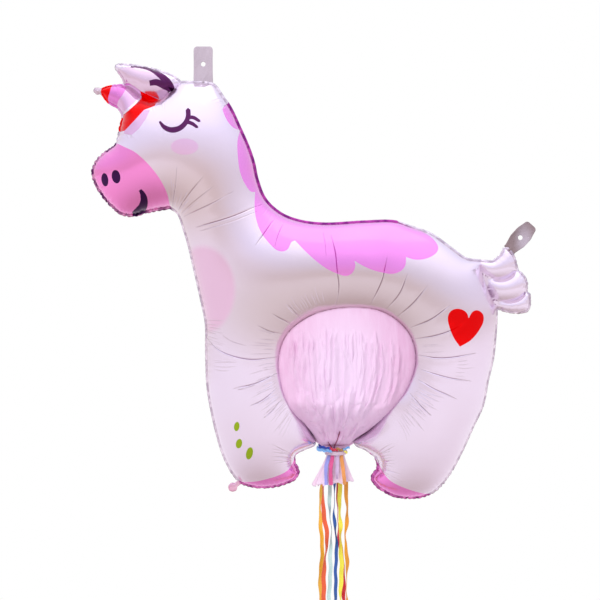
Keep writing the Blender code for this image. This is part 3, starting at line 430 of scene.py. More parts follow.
# ---- plane curves ----
def spline(knots, step):
    """Points at even spacing along a centripetal Catmull-Rom curve through the knots."""
    knots = np.array(knots, float)
    padded = np.vstack([2 * knots[0] - knots[1], knots, 2 * knots[-1] - knots[-2]])
    dense = []
    for p0, p1, p2, p3 in zip(padded, padded[1:], padded[2:], padded[3:]):
        t1 = math.sqrt(np.linalg.norm(p1 - p0))
        t2 = t1 + math.sqrt(np.linalg.norm(p2 - p1))
        t3 = t2 + math.sqrt(np.linalg.norm(p3 - p2))
        for t in np.linspace(t1, t2, 12, endpoint=False):
            a1 = (t1 - t) / t1 * p0 + t / t1 * p1
            a2 = (t2 - t) / (t2 - t1) * p1 + (t - t1) / (t2 - t1) * p2
            a3 = (t3 - t) / (t3 - t2) * p2 + (t - t2) / (t3 - t2) * p3
            b1 = (t2 - t) / t2 * a1 + t / t2 * a2
            b2 = (t3 - t) / (t3 - t1) * a2 + (t - t1) / (t3 - t1) * a3
            dense.append((t2 - t) / (t2 - t1) * b1 + (t - t1) / (t2 - t1) * b2)
    dense.append(knots[-1])
    return even_points(np.array(dense), step)


def run_along(line):
    """The run from a line's first point to each of its points."""
    return np.concatenate([[0.0], np.cumsum(np.linalg.norm(np.diff(line, axis=0), axis=1))])


def length_of(line):
    """The length of a line."""
    return np.linalg.norm(np.diff(line, axis=0), axis=1).sum()


def even_points(line, step):
    """The line resampled at even spacing."""
    run = run_along(line)
    places = np.linspace(0.0, run[-1], max(2, round(run[-1] / step) + 1))
    return np.stack([np.interp(places, run, line[:, k]) for k in range(line.shape[1])], axis=1)


def aside_of(line):
    """Unit vectors along an open line at its points, and the ones square to them."""
    along = np.gradient(line, axis=0)
    along /= np.maximum(np.linalg.norm(along, axis=1)[:, None], 1e-9)
    return along, np.stack([along[:, 1], -along[:, 0]], axis=1)


def bell(share):
    """A bell curve, 1 at 0 and near 0 beyond 2."""
    return np.exp(-(share**2))


def smoothed(padded):
    """Values averaged over seven neighbours, three fewer at each end."""
    return np.convolve(padded, np.ones(7) / 7, mode="valid")


def in_chunks(work, points, size=1500):
    """The work done on some of the points at a time, and its results joined."""
    parts = [work(points[i:i + size]) for i in range(0, len(points), size)]
    if isinstance(parts[0], tuple):
        return tuple(np.concatenate(group) for group in zip(*parts))
    return np.concatenate(parts)


def nearest_on_line(points, line, closed=False):
    """Each point's distance to the polyline, and the run along the line at its nearest place."""
    line = np.vstack([line, line[:1]]) if closed else line
    start, along = line[:-1], np.diff(line, axis=0)
    length = np.linalg.norm(along, axis=1)
    run = run_along(line)

    def work(some):
        to_point = some[:, None, :] - start[None]
        share = np.clip((to_point * along).sum(2) / np.maximum(length**2, 1e-12), 0.0, 1.0)
        away = np.linalg.norm(to_point - share[:, :, None] * along, axis=2)
        best = away.argmin(1)
        rows = np.arange(len(some))
        return away[rows, best], run[best] + share[rows, best] * length[best]

    return in_chunks(work, points)


def nearest_of(points, lines):
    """Each point's distance to the nearest of several polylines."""
    return np.min([nearest_on_line(points, line)[0] for line in lines], axis=0)


def numbers_near(points, line, margin):
    """The numbers of the points in the line's box, widened by a margin."""
    return np.flatnonzero(((points > line.min(0) - margin) & (points < line.max(0) + margin)).all(axis=1))


def inside(points, loop):
    """Which points lie inside a closed polyline."""
    loop = np.array(loop)
    x0, z0 = loop[:, 0], loop[:, 1]
    x1, z1 = np.roll(x0, -1), np.roll(z0, -1)
    rise = np.where(z1 == z0, 1e-12, z1 - z0)

    def work(some):
        x, z = some[:, 0][:, None], some[:, 1][:, None]
        crosses = (z0 > z) != (z1 > z)
        return (crosses & (x < x0 + (z - z0) / rise * (x1 - x0))).sum(1) % 2 == 1

    return in_chunks(work, points, 8000)


def inward(loop):
    """Unit vectors into a closed loop at its points."""
    along = np.roll(loop, -1, axis=0) - np.roll(loop, 1, axis=0)
    normal = np.stack([along[:, 1], -along[:, 0]], axis=1)
    normal /= np.linalg.norm(normal, axis=1)[:, None]
    return normal if inside(loop[:1] + normal[:1] * 0.0005, loop)[0] else -normal


def point_numbers(loop, run):
    """The numbers of a loop's points that lie at these runs along it."""
    return np.clip(np.searchsorted(run_along(loop), run), 0, len(loop) - 1)


def offset_loop(loop, distance):
    """The loop moved inwards by one distance or one for each of its points, without the knots at its tips."""
    distance = np.broadcast_to(distance, len(loop))
    moved = loop + distance[:, None] * inward(loop)
    return moved[nearest_on_line(moved, loop, True)[0] > 0.93 * np.abs(distance)]


def ellipse(centre, half_width, half_height, tilt):
    """A closed ellipse, its upper end leaning to the left by the tilt in degrees."""
    turns = np.linspace(0.0, 2 * math.pi, 28, endpoint=False)
    flat = np.stack([half_width * np.cos(turns), half_height * np.sin(turns)], axis=1)
    c, s = math.cos(math.radians(tilt)), math.sin(math.radians(tilt))
    return np.array(centre) + flat @ np.array([[c, s], [-s, c]])


def stroke(line, widths):
    """A closed brush stroke along a line, its width going evenly through the widths given."""
    middle = spline(line, 0.0018)
    along, across = aside_of(middle)
    share = np.linspace(0.0, 1.0, len(middle))
    half = 0.5 * np.interp(share, np.linspace(0.0, 1.0, len(widths)), widths)[:, None]
    tip = middle[-1:] + along[-1:] * half[-1]
    return np.vstack([middle + half * across, tip, (middle - half * across)[::-1]])


class PointCloud:
    """Points for a mesh, none nearer to an earlier one than the clearance it is added with."""

    def __init__(self, cell=0.004):
        self.cell, self.cells, self.points = cell, {}, []

    def add(self, points, clearance=0.0):
        """Adds the points that have room, and gives their numbers."""
        numbers = []
        for x, z in np.asarray(points, float):
            i, j = int(x // self.cell), int(z // self.cell)
            if clearance and self._crowded(x, z, i, j, clearance):
                continue
            self.cells.setdefault((i, j), []).append((x, z))
            numbers.append(len(self.points))
            self.points.append((x, z))
        return numbers

    def _crowded(self, x, z, i, j, clearance):
        near = clearance**2
        for a in (i - 1, i, i + 1):
            for b in (j - 1, j, j + 1):
                for px, pz in self.cells.get((a, b), ()):
                    if (px - x)**2 + (pz - z)**2 < near:
                        return True
        return False


def hexagonal_points(low, high, spacing):
    """Rows of points, each shifted by half a step against the next."""
    rows = np.arange(low[1], high[1], spacing * math.sqrt(3) / 2)
    return np.array([(x + 0.5 * spacing * (i % 2), z) for i, z in enumerate(rows)
                     for x in np.arange(low[0], high[0], spacing)])


def triangulate(points, edges, keep_inside):
    """Delaunay triangles over the points, holding to the edges, inside the loop keep_inside."""
    made = delaunay_2d_cdt([Vector(p) for p in points], edges, [], 0, 1e-7, False)
    flat = np.array([tuple(v) for v in made[0]])
    faces = np.array([f for f in made[2] if len(f) == 3])
    faces = faces[inside(flat[faces].mean(axis=1), keep_inside)]
    a, b, c = (flat[faces[:, k]] for k in range(3))
    turn = (b[:, 0] - a[:, 0]) * (c[:, 1] - a[:, 1]) - (b[:, 1] - a[:, 1]) * (c[:, 0] - a[:, 0])
    faces = np.where((turn < 0)[:, None], faces[:, ::-1], faces)
    return flat, faces[np.abs(turn) > 1e-11]


def path_edges(numbers, closed):
    """The edges that join numbered points in a row."""
    edges = list(zip(numbers, numbers[1:]))
    return edges + [(numbers[-1], numbers[0])] if closed else edges


# ---- the swell of a sealed pair of sheets ----
def swell(flat, faces, held, height=0.0):
    """Height of a sheet that is held at a height along its seams and swells evenly between them."""
    count = len(flat)
    corners = flat[faces]
    sides = corners[:, [2, 0, 1]] - corners[:, [1, 2, 0]]
    area = 0.5 * np.abs(sides[:, 0, 0] * sides[:, 1, 1] - sides[:, 0, 1] * sides[:, 1, 0])
    local = np.einsum("fik,fjk->fij", sides, sides) / (4 * area)[:, None, None]
    row = np.repeat(faces, 3, axis=1).ravel()
    column = np.tile(faces, (1, 3)).ravel()
    value = local.ravel()
    load = np.bincount(faces.ravel(), np.repeat(area / 3, 3), count)
    diagonal = np.bincount(row[row == column], value[row == column], count)
    free = (~held) & (diagonal > 0)
    scale = np.where(free, 1.0 / np.maximum(diagonal, 1e-12), 0.0)
    potential = np.where(held, 0.5 * np.broadcast_to(height, count)**2, 0.0)
    pull = np.bincount(row, value * potential[column], count)
    residual = np.where(free, load - pull, 0.0)
    step = scale * residual
    energy = residual @ step
    first = energy
    for _ in range(3000):
        pushed = np.where(free, np.bincount(row, value * step[column], count), 0.0)
        length = energy / (step @ pushed)
        potential += length * step
        residual -= length * pushed
        improved = scale * residual
        after = residual @ improved
        if after < 1e-10 * first:
            break
        step = improved + after / energy * step
        energy = after
    return np.sqrt(2 * np.maximum(potential, 0.0))


# ---- meshes ----
def mesh_object(name, corners, faces, looks, slots=None, sharp=50):
    """A smooth-shaded mesh object with its materials."""
    mesh = bpy.data.meshes.new(name)
    mesh.from_pydata([tuple(map(float, c)) for c in corners], [], [list(map(int, f)) for f in faces])
    for look in looks:
        mesh.materials.append(look)
    if slots is not None:
        mesh.polygons.foreach_set("material_index", np.asarray(slots, np.int32))
    mesh.shade_smooth()
    mesh.set_sharp_from_angle(angle=math.radians(sharp))
    made = bpy.data.objects.new(name, mesh)
    bpy.context.scene.collection.objects.link(made)
    return made


def thicken(obj, thickness=SKIN):
    """Gives a sheet its thickness, away from its outer face."""
    solid = obj.modifiers.new("wall", "SOLIDIFY")
    solid.thickness = thickness
    solid.offset = -1.0


def drop_loose(corners, faces):
    """The corners that faces use, and the faces renumbered to them."""
    used = np.unique(faces)
    number = np.full(len(corners), -1)
    number[used] = np.arange(len(used))
    return corners[used], number[faces]


def belongs(made, body, node):
    """Says which body a piece rides on and which CAD node it replaces."""
    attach(made, body)
    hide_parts(node)


# ---- materials ----
class Look:
    """A Principled material and short ways to add nodes to it."""

    def __init__(self, name):
        self.material = bpy.data.materials.new(name)
        self.material.use_nodes = True
        self.tree = self.material.node_tree
        self.shader = self.tree.nodes["Principled BSDF"]
        self.place = self.node("ShaderNodeTexCoord").outputs["Object"]

    def node(self, kind, **settings):
        """A new node with its settings."""
        made = self.tree.nodes.new(kind)
        for key, value in settings.items():
            setattr(made, key, value)
        return made

    def link(self, source, target):
        """Joins an output to an input."""
        self.tree.links.new(source, target)

    def set(self, **values):
        """Sets the shader's sockets; underscores stand for spaces."""
        for key, value in values.items():
            self.shader.inputs[key.replace("_", " ")].default_value = value

    def drive(self, socket, value):
        """Joins an output to one of the shader's sockets."""
        self.link(value, self.shader.inputs[socket])

    def scaled(self, scale, turn=(0.0, 0.0, 0.0)):
        """The object's coordinates turned, then stretched by a scale on each axis."""
        mapping = self.node("ShaderNodeMapping")
        mapping.inputs["Scale"].default_value = scale
        mapping.inputs["Rotation"].default_value = turn
        self.link(self.place, mapping.inputs["Vector"])
        return mapping.outputs["Vector"]

    def noise(self, scale, detail=3.0, roughness=0.5, distortion=0.0, place=None):
        """A noise value."""
        made = self.node("ShaderNodeTexNoise")
        made.inputs["Scale"].default_value = scale
        made.inputs["Detail"].default_value = detail
        made.inputs["Roughness"].default_value = roughness
        made.inputs["Distortion"].default_value = distortion
        self.link(place or self.place, made.inputs["Vector"])
        return made.outputs["Fac"]

    def ranged(self, value, low, high, new_low, new_high, smooth=False):
        """A value moved from one range to another."""
        made = self.node("ShaderNodeMapRange", interpolation_type="SMOOTHSTEP" if smooth else "LINEAR")
        for key, number in zip(("From Min", "From Max", "To Min", "To Max"), (low, high, new_low, new_high)):
            made.inputs[key].default_value = number
        self.link(value, made.inputs["Value"])
        return made.outputs["Result"]

    def mixed(self, factor, first, second):
        """A colour between two colours or colour outputs."""
        made = self.node("ShaderNodeMix", data_type="RGBA")
        self.link(factor, made.inputs["Factor"])
        for socket, colour in ((made.inputs[6], first), (made.inputs[7], second)):
            if isinstance(colour, tuple):
                socket.default_value = (*colour, 1.0)
            else:
                self.link(colour, socket)
        return made.outputs[2]

    def bump(self, height, strength, distance, under=None):
        """Adds bump to the shader's normal."""
        made = self.node("ShaderNodeBump")
        made.inputs["Strength"].default_value = strength
        made.inputs["Distance"].default_value = distance
        self.link(height, made.inputs["Height"])
        if under:
            self.link(under, made.inputs["Normal"])
        self.link(made.outputs["Normal"], self.shader.inputs["Normal"])
        return made.outputs["Normal"]

    def patch(self, centre, half_width, half_height, tilt, soft=0.10):
        """1 inside an ellipse of the XZ plane and 0 outside it, with a soft edge."""
        moved = self.node("ShaderNodeVectorMath", operation="SUBTRACT")
        self.link(self.place, moved.inputs[0])
        moved.inputs[1].default_value = (centre[0], 0.0, centre[1])
        mapping = self.node("ShaderNodeMapping")
        mapping.inputs["Rotation"].default_value = (0.0, math.radians(tilt), 0.0)
        mapping.inputs["Scale"].default_value = (1.0 / half_width, 0.0, 1.0 / half_height)
        self.link(moved.outputs["Vector"], mapping.inputs["Vector"])
        length = self.node("ShaderNodeVectorMath", operation="LENGTH")
        self.link(mapping.outputs["Vector"], length.inputs[0])
        return self.ranged(length.outputs["Value"], 1.0 - soft, 1.0 + soft, 1.0, 0.0, smooth=True)


def foil_look(name, colour, warm=None, patches=(), grain=7.0):
    """Printed metal foil: a clear tinted ink over a bright film, gently uneven in tone and gloss; its patches lay soft
    prints and painted shade over it.
    """
    look = Look(name)
    second = warm or tuple(0.90 * c for c in colour)
    tone = look.mixed(look.ranged(look.noise(grain, 2.0), 0.38, 0.62, 0.0, 1.0), colour, second)
    for blush_and_shade, shape, soft in patches:
        tone = look.mixed(look.patch(*shape, soft=soft), tone, blush_and_shade)
    look.drive("Base Color", tone)
    look.drive("Roughness", look.ranged(look.noise(22.0, 3.0, 0.5), 0.3, 0.7, 0.17, 0.25))
    first = look.bump(look.noise(13.0, 2.0, 0.5), 0.25, 0.004)
    look.bump(look.noise(60.0, 3.0, 0.5, 0.6, look.scaled((1.0, 1.0, 0.5))), 0.10, 0.0006, first)
    look.set(Metallic=0.92, Coat_Weight=0.07, Coat_Roughness=0.06)
    return look.material


def film_look(name, colour, deep, centre=None, bright=None):
    """Thin milky film, crinkled, that lets some of the light behind it through; a given patch paints it paler as
    painted light.
    """
    look = Look(name)
    grain = look.noise(26.0, 4.0, 0.6, 0.9, look.scaled((3.0, 1.0, 0.40)))
    tone = look.mixed(look.ranged(grain, 0.35, 0.68, 0.0, 1.0), colour, deep)
    # a soft paler patch: painted light
    if centre:
        tone = look.mixed(look.patch(*centre, soft=0.85), tone, bright)
    look.drive("Base Color", tone)
    look.drive("Roughness", look.ranged(look.noise(60.0, 3.0), 0.3, 0.7, 0.26, 0.42))
    first = look.bump(look.noise(150.0, 5.0, 0.6, 1.5, look.scaled((1.6, 1.0, 0.5))), 0.22, 0.0006)
    look.bump(grain, 0.25, 0.002, first)
    look.set(Coat_Weight=0.25, Coat_Roughness=0.16)
    behind = look.node("ShaderNodeBsdfTranslucent")
    look.link(tone, behind.inputs["Color"])
    both = look.node("ShaderNodeMixShader")
    both.inputs["Fac"].default_value = 0.25
    look.link(look.shader.outputs["BSDF"], both.inputs[1])
    look.link(behind.outputs["BSDF"], both.inputs[2])
    look.link(both.outputs["Shader"], look.tree.nodes["Material Output"].inputs["Surface"])
    return look.material


def ribbon_look(name, colour):
    """Satin ribbon: a fine weave across and along, and a soft sheen."""
    look = Look(name)
    dark = tuple(0.72 * c for c in colour)
    shift = look.noise(22.0, 2.0)
    look.drive("Base Color", look.mixed(look.ranged(shift, 0.3, 0.7, 0.0, 1.0), colour, dark))
    streaks = look.noise(300.0, 3.0, 0.5, 0.0, look.scaled((1.0, 1.0, 0.12)))
    look.drive("Roughness", look.ranged(streaks, 0.3, 0.7, 0.26, 0.44))
    weave = look.node("ShaderNodeTexWave", bands_direction="Z")
    weave.inputs["Scale"].default_value = 420.0
    look.link(look.place, weave.inputs["Vector"])
    look.bump(weave.outputs["Fac"], 0.15, 0.0002)
    look.set(Sheen_Weight=0.25, Sheen_Roughness=0.35, Coat_Weight=0.15, Coat_Roughness=0.2)
    return look.material


def valve_look():
    """The valve's clear film, with a faint haze."""
    look = Look("valve_clear_film")
    look.drive("Base Color", look.mixed(look.noise(40.0, 3.0), *VALVE_CLEAR))
    look.drive("Roughness", look.ranged(look.noise(55.0), 0.3, 0.7, 0.2, 0.4))
    return look.material


# ---- the foil panels ----
def tucked_hole():
    """The belly hole's edge, tucked in behind the pouch's dome."""
    knots = np.array(BELLY_HOLE)
    share = np.linspace(0, 1, len(knots))
    tuck = HOLE_TUCK * np.clip(np.sin(math.pi * share) * 1.6 - 0.35, 0, 1)
    toward = np.array(HOLE_CENTRE) - knots
    return knots + tuck[:, None] * toward / np.linalg.norm(toward, axis=1)[:, None]


def shoulder_height(level):
    """How far the hole's brim stands out from the middle plane at a height: all of it above, nothing at the neck."""
    lift = np.clip((level - SHOULDER_FOOT) / SHOULDER_RISE, 0, 1)
    return SHOULDER * lift * lift * (3 - 2 * lift)


def balloon_outline():
    """The closed outline, and the run along it at which each of OUTLINE_RUNS ends."""
    runs = [tucked_hole() if knots is BELLY_HOLE else knots for knots, *_ in OUTLINE_RUNS]
    pieces = [spline(knots, OUTLINE_STEP)[:-1] for knots in runs]
    loop = np.vstack(pieces)
    run = np.cumsum(np.linalg.norm(np.roll(loop, -1, axis=0) - loop, axis=1))
    ends = np.cumsum([len(piece) for piece in pieces]) - 1
    return loop, run[ends]


def closed_print(runs):
    """A print's closed loop from smooth runs that meet at its points."""
    return np.vstack([spline(run, PRINT_STEP)[:-1] for run in runs])


def band_between(first, second):
    """A closed loop between two lines that run the same way."""
    return np.vstack([spline(first, 0.002), spline(second, 0.002)[::-1]])


def print_loops():
    """The prints in the order they are laid down: name of the ink and closed loop."""
    muzzle = np.vstack([spline(MUZZLE_EDGE, PRINT_STEP), [(-0.060, -0.300), (-0.250, -0.300), (-0.250, -0.125)]])
    below_front = [(0.200, -0.680), (0.200, -0.750), (0.020, -0.750)]
    front_hoof = np.vstack([spline(FRONT_HOOF_EDGE, PRINT_STEP), below_front])
    below_hind = [(0.400, -0.760), (0.250, -0.760), (0.250, -0.680)]
    hind_hoof = np.vstack([spline(HIND_HOOF_EDGE, PRINT_STEP), below_hind])
    mane = np.vstack([closed_print(MANE_RUNS), MANE_RUNS[-1][-1:], MANE_OUTSIDE])
    tip, red, pale = HORN_STRIPES
    horn_end = [(-0.200, -0.030), (-0.200, -0.046), (-0.200, -0.070)]
    band_side = [(-0.100, -0.038), (-0.108, -0.060), (-0.130, -0.083), (-0.150, -0.096)]
    loops = [
        ("horn pale", band_between(pale, band_side)), ("horn pink", band_between(red, pale)),
        ("red", band_between(tip, red)), ("horn tip", band_between(horn_end, tip)),
        ("ear shade", np.array(EAR_INSIDE)), ("horn shade", np.array(HORN_SHADE)), ("red", np.array(HORN_BAND)),
        ("muzzle", muzzle), ("hoof", front_hoof), ("hoof", hind_hoof), ("mane", mane),
        ("red", closed_print(HEART)),
        ("plum", stroke(EYELID, (0.0034, 0.008, 0.01, 0.0088, 0.008, 0.008))),
        ("dark plum", stroke(MOUTH, (0.005, 0.011, 0.013, 0.012, 0.008))),
        ("plum", stroke(EAR_STROKES[0], (0.0034, 0.0044, 0.0064, 0.0098, 0.013, 0.011))),
        ("plum", stroke(EAR_STROKES[1], (0.009, 0.0112, 0.0116, 0.009))),
    ]
    loops += [("plum", stroke(lash, (0.0066, 0.0064, 0.0048))) for lash in LASHES]
    loops += [("dark plum", ellipse(*nostril)) for nostril in NOSTRILS]
    loops += [("green", ellipse(*spot)) for spot in SPOTS]
    return loops


def crease_lines(random):
    """All creases as (points, depth, half width, share of it in a wide slope): long ones, then the fine sets."""
    lines = [(spline(line, 0.003), depth, half, WIDE_SHARE) for line, depth, half in CREASES]
    for start, end, first, last, count, length, depth in CREASE_SETS:
        for i in range(count):
            share = (i + 0.35 * random.uniform(-1, 1)) / max(count - 1, 1)
            foot = np.array(start) + share * (np.array(end) - np.array(start))
            turn = math.radians(first + share * (last - first) + random.uniform(-4, 4))
            reach = length * random.uniform(0.45, 1.05)
            bend = random.uniform(-0.06, 0.06) * reach
            ahead = np.array([math.cos(turn), math.sin(turn)])
            aside = np.array([-math.sin(turn), math.cos(turn)])
            knots = [foot, foot + 0.5 * reach * ahead + bend * aside, foot + reach * ahead]
            lines.append((spline(knots, 0.003), depth * random.uniform(0.6, 1.2), 0.0005, 0.0))
    return lines


def crease_points(line, half):
    """Rows of mesh points along a crease, near enough to hold its shape."""
    across = aside_of(line)[1]
    return [line + k * half * across for k in (0.0, -1.0, 1.0, -2.6, 2.6, -5.0, 5.0)]


def crease_depth(flat, lines):
    """How far the creases draw each point in, with a low ridge beside each groove."""
    drawn = np.zeros(len(flat))
    for line, depth, half, wide in lines:
        near = numbers_near(flat, line, CREASE_REACH if wide else 5 * half)
        if not len(near):
            continue
        away, run = nearest_on_line(flat[near], line)
        share = run / length_of(line)
        fade = np.clip(4 * share, 0, 1) * np.clip(3 * (1 - share), 0, 1)
        valley = bell(away / half) - 0.25 * bell((away - 2.6 * half) / (1.2 * half))
        slope = np.clip(1 - away / CREASE_REACH, 0, 1)**2
        drawn[near] += depth * fade * ((NARROW_SHARE if wide else 1.0) * valley + wide * slope)
    return drawn


def pucker_places(ends, random):
    """Puckers along the outline as rows of (run, depth, half width, reach)."""
    rows, begin = [], 0.0
    for (_, _, spacing, depth, reach, _), end in zip(OUTLINE_RUNS, ends):
        run = begin + 0.4 * spacing
        while run < end:
            rows.append((run, depth * random.uniform(0.4, 1.3), random.uniform(0.0015, 0.0024),
                         reach * random.uniform(0.6, 1.4)))
            run += spacing * random.uniform(0.65, 1.35)
        begin = end
    return rows


def pucker_depth(away, run, rows):
    """How far the puckers draw in a point at a distance inside the seam."""
    drawn = np.zeros(len(away))
    order = np.argsort(run)
    sorted_run = run[order]
    for place, depth, half, reach in rows:
        low, high = np.searchsorted(sorted_run, (place - 5 * half, place + 5 * half))
        some = order[low:high]
        side = np.abs(run[some] - place)
        profile = bell(side / half) - 0.35 * bell((side - 2.4 * half) / (1.3 * half))
        rise = np.clip(away[some] / SEAM_EASE, 0, 1)
        drawn[some] += depth * profile * rise * bell(away[some] / reach)
    return drawn


def edge_ruffle(run, ends, random):
    """The wave of the free edge at each run, in metres to the back."""
    grid = np.linspace(0.0, ends[-1], int(ends[-1] / 0.0042))
    which = np.minimum(np.searchsorted(ends, grid), len(OUTLINE_RUNS) - 1)
    size = np.array([OUTLINE_RUNS[i][5] for i in which])
    wave = np.array([random.uniform(0.35, 1.0) * (-1) ** i for i in range(len(grid))])
    return np.interp(run, grid, wave * size)


def drawn_in(flat, from_edge, run, outline, rows):
    """The flat points with the edge drawn in at the puckers, so that the silhouette is scalloped."""
    depth = np.zeros(len(flat))
    for place, size, half, _ in rows:
        near = np.abs(run - place) < 4 * half
        depth[near] += size * bell((run[near] - place) / (1.1 * half))
    depth *= SCALLOP / max(size for _, size, _, _ in rows) * bell(from_edge / SCALLOP_REACH)
    return flat + depth[:, None] * inward(outline)[point_numbers(outline, run)]


def flange_widths(outline, ends):
    """The flange's width at each point of the outline, eased from run to run."""
    which = np.minimum(np.searchsorted(ends, run_along(outline)), len(OUTLINE_RUNS) - 1)
    widths = np.array([OUTLINE_RUNS[i][1] for i in which])
    return smoothed(np.concatenate([widths[-3:], widths, widths[:3]]))


def panel_points(outline, seam, welds, lines, prints):
    """The panel's mesh points and the edges that its triangles must keep."""
    cloud = PointCloud()
    edges = path_edges(cloud.add(outline), True)
    edges += path_edges(cloud.add(seam, 0.0006), True)
    for weld in welds:
        edges += path_edges(cloud.add(weld), False)
    for _, loop in prints:
        edges += path_edges(cloud.add(loop), True)
    for line, _, half, _ in lines:
        for row in crease_points(line, half):
            cloud.add(row, 0.75 * half)
    for distance, spacing in SEAM_RINGS:
        cloud.add(offset_loop(seam, distance), 0.62 * spacing)
    for weld in welds:
        across = aside_of(weld)[1]
        for distance in (0.0012, -0.0012, 0.003, -0.003, 0.0058, -0.0058):
            cloud.add(weld + distance * across, 0.0014)
    grid = hexagonal_points(outline.min(0), outline.max(0), GRID_STEP)
    cloud.add(grid[inside(grid, seam)], 0.62 * GRID_STEP)
    return cloud.points, edges


def foil_panels():
    """The two printed foil panels with their seams, swell, creases and puckers."""
    random = np.random.RandomState(11)
    outline, ends = balloon_outline()
    seam = offset_loop(outline, flange_widths(outline, ends))
    lines = crease_lines(random)
    prints = print_loops()
    welds = [spline(line, WELD_STEP) for line in WELD_LINES]
    points, edges = panel_points(outline, seam, welds, lines, prints)
    flat, faces = triangulate(points, edges, outline)
    flat, faces = drop_loose(flat, faces)

    from_edge, run = nearest_on_line(flat, outline, True)
    from_seam = nearest_on_line(flat, seam, True)[0] * np.where(inside(flat, seam), 1, -1)
    held = (from_seam < ON_SEAM) | (nearest_of(flat, welds) < 1e-5)
    to_hole = nearest_on_line(flat, spline(tucked_hole(), 0.004))[0]
    brim = (to_hole < 0.0035) & (np.abs(from_seam) < ON_SEAM)
    height = np.where(brim, shoulder_height(flat[:, 1]) / PLUMPNESS, 0.0)
    free = swell(flat, faces, from_seam < ON_SEAM, height)
    rise = PLUMPNESS * np.maximum(swell(flat, faces, held, height), WELD_FILL * free)
    rows = pucker_places(ends, random)
    drawn = crease_depth(flat, lines) + pucker_depth(from_seam, run, rows)
    drawn *= np.clip(from_seam / SEAM_EASE, 0, 1)
    lap = (FILM_WALL + 2 * SEAM_GAP) * bell(to_hole / LAP_REACH)
    depth = np.maximum(rise - drawn, 0.0) + 0.5 * SEAM_GAP + FOIL_WALL + lap
    ruffle = edge_ruffle(run, ends, random) * np.clip(-from_seam / SEAM_EASE, 0, 1)
    shaped = drawn_in(flat, from_edge, run, outline, rows)

    looks, slots = foil_slots(flat, faces, from_seam, prints, lines)
    for name, side in (("printed_front_foil", -1), ("printed_back_foil", 1)):
        corners = np.stack([shaped[:, 0], side * depth + ruffle, shaped[:, 1]], axis=1)
        turned = faces if side < 0 else faces[:, ::-1]
        panel = mesh_object(name, corners, turned, looks, slots)
        thicken(panel)
        belongs(panel, "balloon", "front_foil_panel" if side < 0 else "back_foil_panel")


def crease_shade_faces(middle, lines, wide):
    """Which places lie in the groove of a long crease, or of a fine one, where the foil gets a darker ink as painted
    shade.
    """
    found = np.zeros(len(middle), bool)
    for line, _, half, share in lines:
        if bool(share) != wide:
            continue
        near = numbers_near(middle, line, half)
        if len(near):
            away, run = nearest_on_line(middle[near], line)
            length = length_of(line)
            found[near] |= (away < 0.62 * half) & (run > 0.02 * length) & (run < 0.98 * length)
    return found


def foil_slots(flat, faces, from_seam, prints, lines):
    """The foil's materials, and the one each face has."""
    # the pearl's patches: painted shade under the jaw and over the belly hole, printed blush on cheek and chest
    patches = [(THROAT_SHADE, THROAT_SHADE_PATCH, 0.9), (BELLY_SHADE, BELLY_SHADE_PATCH, 0.45), (BLUSH, CHEEK, 0.1),
               (CHEST_BLUSH, CHEST_PATCH, 0.1)]
    inks = {
        "pearl": foil_look("foil_pearl", PEARL, PEARL_WARM, patches),
        "edge": foil_look("foil_sealed_edge_painted_shade", *EDGE_GREY_SHADED, grain=95.0),
        "mane edge": foil_look("foil_mane_edge_painted_shade", *EDGE_MANE_SHADED, grain=95.0),
        "muzzle edge": foil_look("foil_muzzle_edge_painted_shade", *EDGE_MUZZLE_SHADED, grain=95.0),
        "hoof edge": foil_look("foil_hoof_edge_painted_shade", *EDGE_HOOF_SHADED, grain=95.0),
        "pearl crease shade": foil_look("foil_pearl_crease_painted_shade", PEARL_CREASE_SHADE),
        "fine crease shade": foil_look("foil_fine_crease_painted_shade", FINE_CREASE_SHADE),
        "mane crease shade": foil_look("foil_mane_crease_painted_shade", MANE_CREASE_SHADE),
        "weld valley shade": foil_look("foil_weld_valley_painted_shade", WELD_VALLEY_SHADE),
        "muzzle": foil_look("foil_muzzle_pink", MUZZLE_PINK), "hoof": foil_look("foil_hoof_pink", HOOF_PINK),
        "mane": foil_look("foil_mane_pink", MANE_PINK), "red": foil_look("foil_red", RED),
        "plum": foil_look("foil_plum", PLUM), "dark plum": foil_look("foil_dark_plum", DARK_PLUM),
        "green": foil_look("foil_green", GREEN), "ear shade": foil_look("foil_ear_shade", EAR_SHADE),
        "horn pale": foil_look("foil_horn_pale", HORN_PALE), "horn pink": foil_look("foil_horn_pink", HORN_PINK),
        "horn tip": foil_look("foil_horn_tip", HORN_TIP), "horn shade": foil_look("foil_horn_shade", HORN_PALE),
    }
    names = list(inks)
    middle = flat[faces].mean(axis=1)
    slots = np.zeros(len(faces), int)
    for ink, loop in prints:
        slots[inside(middle, loop)] = names.index(ink)
    # faces in the crease grooves get a darker ink: painted shade
    slots[crease_shade_faces(middle, lines, False) & (slots == 0)] = names.index("fine crease shade")
    long = crease_shade_faces(middle, lines, True)
    slots[long & ((slots == 0) | (slots == names.index("fine crease shade")))] = names.index("pearl crease shade")
    slots[long & (slots == names.index("mane"))] = names.index("mane crease shade")
    # faces along the tail's weld lines get a darker ink: painted shade of the weld valleys
    to_weld = nearest_of(middle, [spline(line, WELD_STEP) for line in WELD_LINES[:TAIL_WELDS]])
    slots[(to_weld < 0.0009) & (slots == 0)] = names.index("weld valley shade")
    # the flange beyond the seam gets its darker ink: painted shade, with painted shadows of its ruffles as dashes
    sealed = from_seam[faces].mean(axis=1) < -0.0002
    to_hole = nearest_on_line(middle, spline(tucked_hole(), 0.004))[0]
    slots[sealed & (slots == 0) & (to_hole > 0.003)] = names.index("edge")
    for ink in ("mane", "muzzle", "hoof"):
        slots[sealed & (slots == names.index(ink))] = names.index(f"{ink} edge")
    return list(inks.values()), slots


